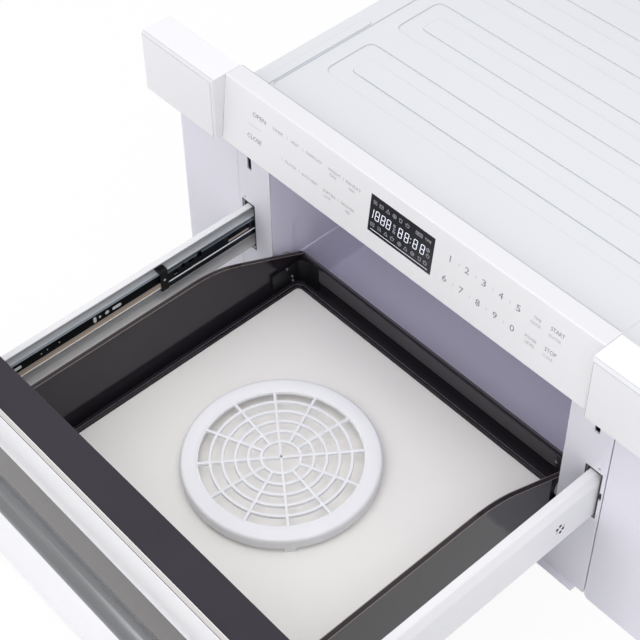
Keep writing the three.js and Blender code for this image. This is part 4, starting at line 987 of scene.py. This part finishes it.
print_words(DIGITS, "panel_digits", DARK_INK)
print_words(SMALL_WORDS, "panel_words_small", INK)
print_words(PALE_WORDS, "panel_words_pale", PALE_INK)
TICK_HALF = 2.1
WORD_TICKS = ((382.2, (-159.8, -135.2, -74.6)), (352.6, (-164.8, -138.1, -78.9)))
DIGIT_TICKS = ((86.1, 21.8, 378.6, 381.8), (82.9, 22.0, 351.6, 354.8))
ticks = [([(-219, 367.4), (-199, 367.4)], 0.35)]
for z, places in WORD_TICKS:
    ticks += [([(x, z - TICK_HALF), (x, z + TICK_HALF)], 0.5) for x in places]
for i in range(4):
    for first, pitch, low, high in DIGIT_TICKS:
        ticks.append(([(first + i * pitch, low), (first + i * pitch, high)], 0.45))
strokes(ticks, "panel_separators", PALE_INK)

# ---- display: digits, colon, line and signs ----------------------------------------------
PANE_PROUD = 0.2
SEGMENT_TILT = 0.09
SEGMENTS = {
    "a": ((-1, 1), (1, 1)), "b": ((1, 1), (1, 0)), "c": ((1, 0), (1, -1)), "d": ((1, -1), (-1, -1)),
    "e": ((-1, -1), (-1, 0)), "f": ((-1, 0), (-1, 1)), "g": ((-1, 0), (1, 0)),
}


def seven_segments(x, z, half_wide, half_high, lit_ones="abcdefg", thick=0.95):
    """Segments of one figure as short strokes that stop clear of each other."""
    made = []
    for key in lit_ones:
        (u0, v0), (u1, v1) = SEGMENTS[key]
        ends = []
        for near, far in (((u0, v0), (u1, v1)), ((u1, v1), (u0, v0))):
            dx, dz = (far[0] - near[0]) * half_wide, (far[1] - near[1]) * half_high
            inset = thick * 0.62 / math.hypot(dx, dz)
            u, v = near[0] * half_wide + dx * inset, near[1] * half_high + dz * inset
            ends.append((x + u + v * SEGMENT_TILT, z + v))
        made.append((ends, thick))
    return made


def ring_points(x, z, radius, count=8):
    turns = [2 * math.pi * i / count for i in range(count + 1)]
    return [(x + radius * math.cos(t), z + radius * math.sin(t)) for t in turns]


def sign(kind, x, z, size=2.4):
    """A small general sign: box, pot, drop, fan, hill, cup or waves."""
    thin = 0.5
    if kind == "box":
        return [
            ([(x - size, z - size * 0.8), (x + size, z - size * 0.8), (x + size, z + size * 0.8),
              (x - size, z + size * 0.8), (x - size, z - size * 0.8)], thin),
            ([(x - size * 0.5, z), (x + size * 0.5, z)], thin),
        ]
    if kind == "pot":
        return [
            ([(x - size, z + size * 0.3), (x - size * 0.7, z - size * 0.8), (x + size * 0.7, z - size * 0.8),
              (x + size, z + size * 0.3)], thin),
            ([(x - size * 1.1, z + size * 0.45), (x + size * 1.1, z + size * 0.45)], thin),
            ([(x - size * 0.3, z + size), (x + size * 0.3, z + size)], thin),
        ]
    if kind == "hill":
        foot = z - size * 0.8
        return [([(x - size, foot), (x, z + size), (x + size, foot), (x - size, foot)], thin)]
    if kind == "fan":
        return [(ring_points(x, z, size), thin), ([(x - size * 0.6, z), (x + size * 0.6, z)], thin),
                ([(x, z - size * 0.6), (x, z + size * 0.6)], thin)]
    if kind == "waves":
        made = []
        for step in (-1, 0, 1):
            u = x + step * size * 0.75
            made.append(([
                (u, z - size), (u + 0.5, z - size * 0.3), (u - 0.5, z + size * 0.3), (u, z + size),
            ], thin))
        return made
    lip, foot, top, base = size * 0.8, size * 0.5, z + size * 0.8, z - size * 0.9
    return [([(x - lip, top), (x - foot, base), (x + foot, base), (x + lip, top), (x - lip, top)], thin)]


FIGURE_Z, FIGURE_HALF_HIGH = 367.7, 5.7
figures = seven_segments(-31.5, FIGURE_Z, 2.2, FIGURE_HALF_HIGH, "bc")
for x in (-23.5, -15.5, -7.7, 8.8, 17.5, 29.5, 39.2):
    figures += seven_segments(x, FIGURE_Z, 2.35, FIGURE_HALF_HIGH)
for z in (365.2, 370.2):
    figures.append(([(22.9, z - 0.2), (23.0, z + 0.2)], 1.0))
strokes(figures, "display_figures", GLOW, PANE_PROUD)
signs = []
TOP_SIGNS = zip((-28.2, -19.6, -10.5, -1.4, 7.1, 16.5), ("waves", "box", "hill", "fan", "cup", "pot"))
LOW_SIGNS = zip(
    (-28.7, -18.9, -9.7, -0.8, 9.5, 18.1, 27.6, 37.3, 45.0),
    ("box", "waves", "hill", "pot", "fan", "hill", "fan", "cup", "pot"),
)
for x, kind in TOP_SIGNS:
    signs += sign(kind, x, 382.3)
for x, kind in LOW_SIGNS:
    signs += sign(kind, x, 354.4)
signs += sign("fan", 46.4, 371.4, 2.2) + sign("pot", 47.0, 364.4, 2.2)
signs += sign("fan", 0.2, 371.2, 1.5) + sign("cup", 0.4, 367.2, 1.5) + sign("box", 0.4, 363.4, 1.5)
word_frame = rectangle(28.2, 37.0, 380.6, 384.2)
signs.append((word_frame + word_frame[:1], 0.5))
strokes(signs, "display_signs", DIM, PANE_PROUD)
print_words(
    [("AUTO", 32.6, 382.4, 6.8, 2.4), ("TIME", 44.6, 382.4, 8.6, 3.0)], "display_words", DIM, PANE_PROUD,
)
strokes([([(-30.5, 348.2), (48.8, 348.2)], 0.55)], "display_line", GLOW, PANE_PROUD)

# ---- handle ------------------------------------------------------------------------
HANDLE_Y, HANDLE_Z = -468, 281
HANDLE_RADIUS, HANDLE_HALF = 12, 270
BAR_ROUND, ROUND_STEPS = 2.5, 6
bar_profile = [(0, -HANDLE_HALF)]
for i in range(ROUND_STEPS + 1):
    turn = math.radians(-90 + 90 * i / ROUND_STEPS)
    bar_profile.append((
        HANDLE_RADIUS - BAR_ROUND + BAR_ROUND * math.cos(turn),
        -HANDLE_HALF + BAR_ROUND + BAR_ROUND * math.sin(turn),
    ))
bar_profile += [(r, -h) for r, h in reversed(bar_profile)]
bar = lathed(bar_profile, 72, "x", spot(0, HANDLE_Y, HANDLE_Z))
keep(bar, "handle_bar_polished", "drawer", BAR, ("handle_bar",), 40.0)
for side, tag in SIDES:
    softened(f"handle_post_{tag}", "drawer", STEEL, 0.5)

# ---- round rack --------------------------------------------------------------------
RACK_X, RACK_Y = -15, -169
RACK_RADIUS = 108.5
RACK_BASE = 95.05
RACK_TOP = RACK_BASE + 19.5
RIM_INNER = RACK_RADIUS * 0.818
RACK_RINGS = (0.195, 0.325, 0.452, 0.578, 0.7)
SPOKES = 12
BAR_WIDE, BAR_DEEP = 3.4, 4
FOOT_HIGH = 6.5
RACK_TURN = 53.2  # degrees


def bar_section(half_wide, top, bottom, middle, crown=0.6):
    """Section of a rib with a rounded top, as radius and height pairs."""
    inner, outer = middle - half_wide, middle + half_wide
    inset, drop = crown * 0.35, crown * 0.3
    return [
        (inner, bottom), (inner, top - crown), (inner + inset, top - drop), (inner + crown, top),
        (outer - crown, top), (outer - inset, top - drop), (outer, top - crown), (outer, bottom),
    ]


rack_at = spot(RACK_X, RACK_Y, 0)
rim_profile = [
    (RIM_INNER, RACK_TOP - 4.5), (RIM_INNER, RACK_TOP - 1.3), (RIM_INNER + 0.3, RACK_TOP - 0.9),
    (RIM_INNER + 1.6, RACK_TOP - 0.9), (RIM_INNER + 2.0, RACK_TOP - 0.35), (RIM_INNER + 2.8, RACK_TOP),
    (RACK_RADIUS - 4, RACK_TOP), (RACK_RADIUS - 2.2, RACK_TOP - 0.35), (RACK_RADIUS - 0.8, RACK_TOP - 1.5),
    (RACK_RADIUS - 0.15, RACK_TOP - 3), (RACK_RADIUS, RACK_TOP - 4.6), (RACK_RADIUS, RACK_BASE + FOOT_HIGH),
    (RACK_RADIUS - 2.4, RACK_BASE + FOOT_HIGH), (RACK_RADIUS - 2.4, RACK_TOP - 4.5),
]
rack = lathed(rim_profile, 128, "z", rack_at)
for ratio in RACK_RINGS:
    middle = RACK_RADIUS * ratio
    section = bar_section(BAR_WIDE / 2, RACK_TOP - 0.6, RACK_TOP - 0.6 - BAR_DEEP, middle)
    merge(rack, lathed(section, 72, "z", rack_at))


def rib_between(bm, inner, outer, turn, half_wide, top, bottom, crown=0.5):
    """A straight rib from one radius to another, with a rounded top."""
    section = [
        (-half_wide, bottom), (-half_wide, top - crown), (-half_wide + crown, top), (half_wide - crown, top),
        (half_wide, top - crown), (half_wide, bottom),
    ]
    along = Vector((math.cos(turn), math.sin(turn), 0))
    across = Vector((-math.sin(turn), math.cos(turn), 0))
    ends = []
    for radius in (inner, outer):
        ends.append([
            bm.verts.new(rack_at + (along * radius + across * u + Vector((0, 0, v))) * MM) for u, v in section
        ])
    bm.faces.new(ends[0])
    bm.faces.new(list(reversed(ends[1])))
    for i in range(len(section)):
        j = (i + 1) % len(section)
        bm.faces.new([ends[0][i], ends[1][i], ends[1][j], ends[0][j]])


for i in range(SPOKES):
    inward = 0 if i % 3 == 0 else RACK_RADIUS * RACK_RINGS[0]
    turn = math.radians(RACK_TURN + i * 360 / SPOKES)
    rib_between(rack, inward, RIM_INNER + 1.5, turn, BAR_WIDE / 2, RACK_TOP - 0.5, RACK_TOP - 0.5 - BAR_DEEP)
for i in range(4):
    turn = math.radians(RACK_TURN + 90 * i - 90)
    foot_top = RACK_BASE + FOOT_HIGH + 1
    rib_between(rack, RACK_RADIUS - 2.9, RACK_RADIUS - 0.3, turn, 6, foot_top, RACK_BASE, 0.2)
bmesh.ops.recalc_face_normals(rack, faces=rack.faces)
keep(rack, "round_rack_web", "rack", WHITE_PLASTIC, ("round_rack",), 45.0)

# ---- staging, light and camera ---------------------------------------------------------
def backdrop_finish(name, colour, whiteness, mirrored):
    """Pale matt surface that shows nearly white to the camera and in reflections, and keeps soft shadows."""
    made = Finish(name)
    made.tree.nodes.remove(made.surface)
    matt = made.add("BsdfDiffuse", None, {"Color": (*colour, 1)})
    bright = made.add("Emission", None, {"Color": (1, 1, 1, 1), "Strength": 1.0})
    path = made.add("LightPath")
    seen = made.signal(path.outputs["Is Camera Ray"])
    seen = seen.combine("MAXIMUM", seen, made.signal(path.outputs["Is Transmission Ray"])) * whiteness
    seen = seen.combine("MAXIMUM", seen, made.signal(path.outputs["Is Glossy Ray"]) * mirrored)
    mixed = made.add("MixShader", None, {0: seen, 1: matt.outputs[0], 2: bright.outputs[0]})
    made.tree.links.new(mixed.outputs[0], made.end.inputs["Surface"])
    return made.material


def staging_sheet(name, corners, finish):
    mesh = bpy.data.meshes.new(name)
    mesh.from_pydata(corners, [], [(0, 1, 2, 3)])
    mesh.materials.append(finish)
    sheet = bpy.data.objects.new(name, mesh)
    bpy.context.scene.collection.objects.link(sheet)


FLOOR = backdrop_finish("studio_floor", (0.9, 0.9, 0.91), 0.93, 0.5)
FLOOR_HALF, FLOOR_SINK = 6, 0.0005
floor_corners = rectangle(-FLOOR_HALF, FLOOR_HALF, -FLOOR_HALF, FLOOR_HALF)
staging_sheet("floor_sheet", [(x, y, -FLOOR_SINK) for x, y in floor_corners], FLOOR)

scene = bpy.context.scene
scene.view_settings.view_transform = "Standard"
world = bpy.data.worlds.new("studio")
scene.world = world
world.use_nodes = True
world_nodes, world_links = world.node_tree.nodes, world.node_tree.links
world_nodes.clear()
SOFT_LIGHT, SOFT_STRENGTH = (0.96, 0.96, 1.0, 1), 0.8


def background(colour, strength):
    node = world_nodes.new("ShaderNodeBackground")
    node.inputs[0].default_value = colour
    node.inputs[1].default_value = strength
    return node.outputs[0]


def either(first, second):
    node = world_nodes.new("ShaderNodeMath")
    node.operation = "MAXIMUM"
    world_links.new(first, node.inputs[0])
    world_links.new(second, node.inputs[1])
    return node.outputs[0]


# white to the camera, in reflections and through glass; soft light on everything else
rays = world_nodes.new("ShaderNodeLightPath").outputs
seen_white = either(either(rays["Is Camera Ray"], rays["Is Glossy Ray"]), rays["Is Transmission Ray"])
choose = world_nodes.new("ShaderNodeMixShader")
world_out = world_nodes.new("ShaderNodeOutputWorld")
world_links.new(seen_white, choose.inputs[0])
world_links.new(background(SOFT_LIGHT, SOFT_STRENGTH), choose.inputs[1])
world_links.new(background((1, 1, 1, 1), 1.0), choose.inputs[2])
world_links.new(choose.outputs[0], world_out.inputs["Surface"])


def lamp(name, at, towards, size, power):
    data = bpy.data.lights.new(name, "AREA")
    data.shape = "RECTANGLE"
    data.size, data.size_y = size
    data.energy = power
    made = bpy.data.objects.new(name, data)
    made.location = at
    made.rotation_mode = "QUATERNION"
    made.rotation_quaternion = (Vector(towards) - Vector(at)).to_track_quat("-Z", "Y")
    bpy.context.scene.collection.objects.link(made)


lamp("top_lamp", (0.3, -0.7, 1.9), (0, -0.1, 0.2), (1.8, 1.8), 18)
lamp("front_lamp", (1.4, -3.5, 1.6), (0, -0.1, 0.2), (2.4, 2.4), 7)
lamp("low_lamp", (0.85, -3.6, 0.9), (-0.1, 0, 0.2), (1.5, 1.5), 21)
lamp("side_lamp", (-2.0, -0.8, 1.4), (0, -0.1, 0.2), (1.6, 1.6), 3)
lamp("rear_lamp", (0.3, 2.2, 2.4), (0, 0, 0.3), (2.2, 1.4), 2)

CAMERA_AT = (775.39, -821.60, 1459.33)
AZIMUTH, ELEVATION, ROLL = 50.51, 46.23, -2.49
FOCAL_PIXELS, MIDDLE_X, MIDDLE_Y = 1580.3, 272.4, 277.5
PICTURE = 640
SENSOR = 36
azimuth, elevation, roll = (math.radians(v) for v in (AZIMUTH, ELEVATION, ROLL))
back = Vector((
    math.sin(azimuth) * math.cos(elevation), -math.cos(azimuth) * math.cos(elevation), math.sin(elevation),
))
right = Vector((math.cos(azimuth), math.sin(azimuth), 0))
up = back.cross(right)
turned_right = right * math.cos(roll) + up * math.sin(roll)
turned_up = up * math.cos(roll) - right * math.sin(roll)
camera_data = bpy.data.cameras.new("studio_camera")
camera_data.sensor_width = SENSOR
camera_data.lens = FOCAL_PIXELS / PICTURE * SENSOR
camera_data.shift_x = (PICTURE / 2 - MIDDLE_X) / PICTURE
camera_data.shift_y = (MIDDLE_Y - PICTURE / 2) / PICTURE
camera_data.clip_start, camera_data.clip_end = 0.05, 50
camera = bpy.data.objects.new("studio_camera", camera_data)
camera.rotation_mode = "QUATERNION"
camera.location = spot(*CAMERA_AT)
camera.rotation_quaternion = Matrix((turned_right, turned_up, back)).transposed().to_quaternion()
scene.collection.objects.link(camera)
scene.camera = camera
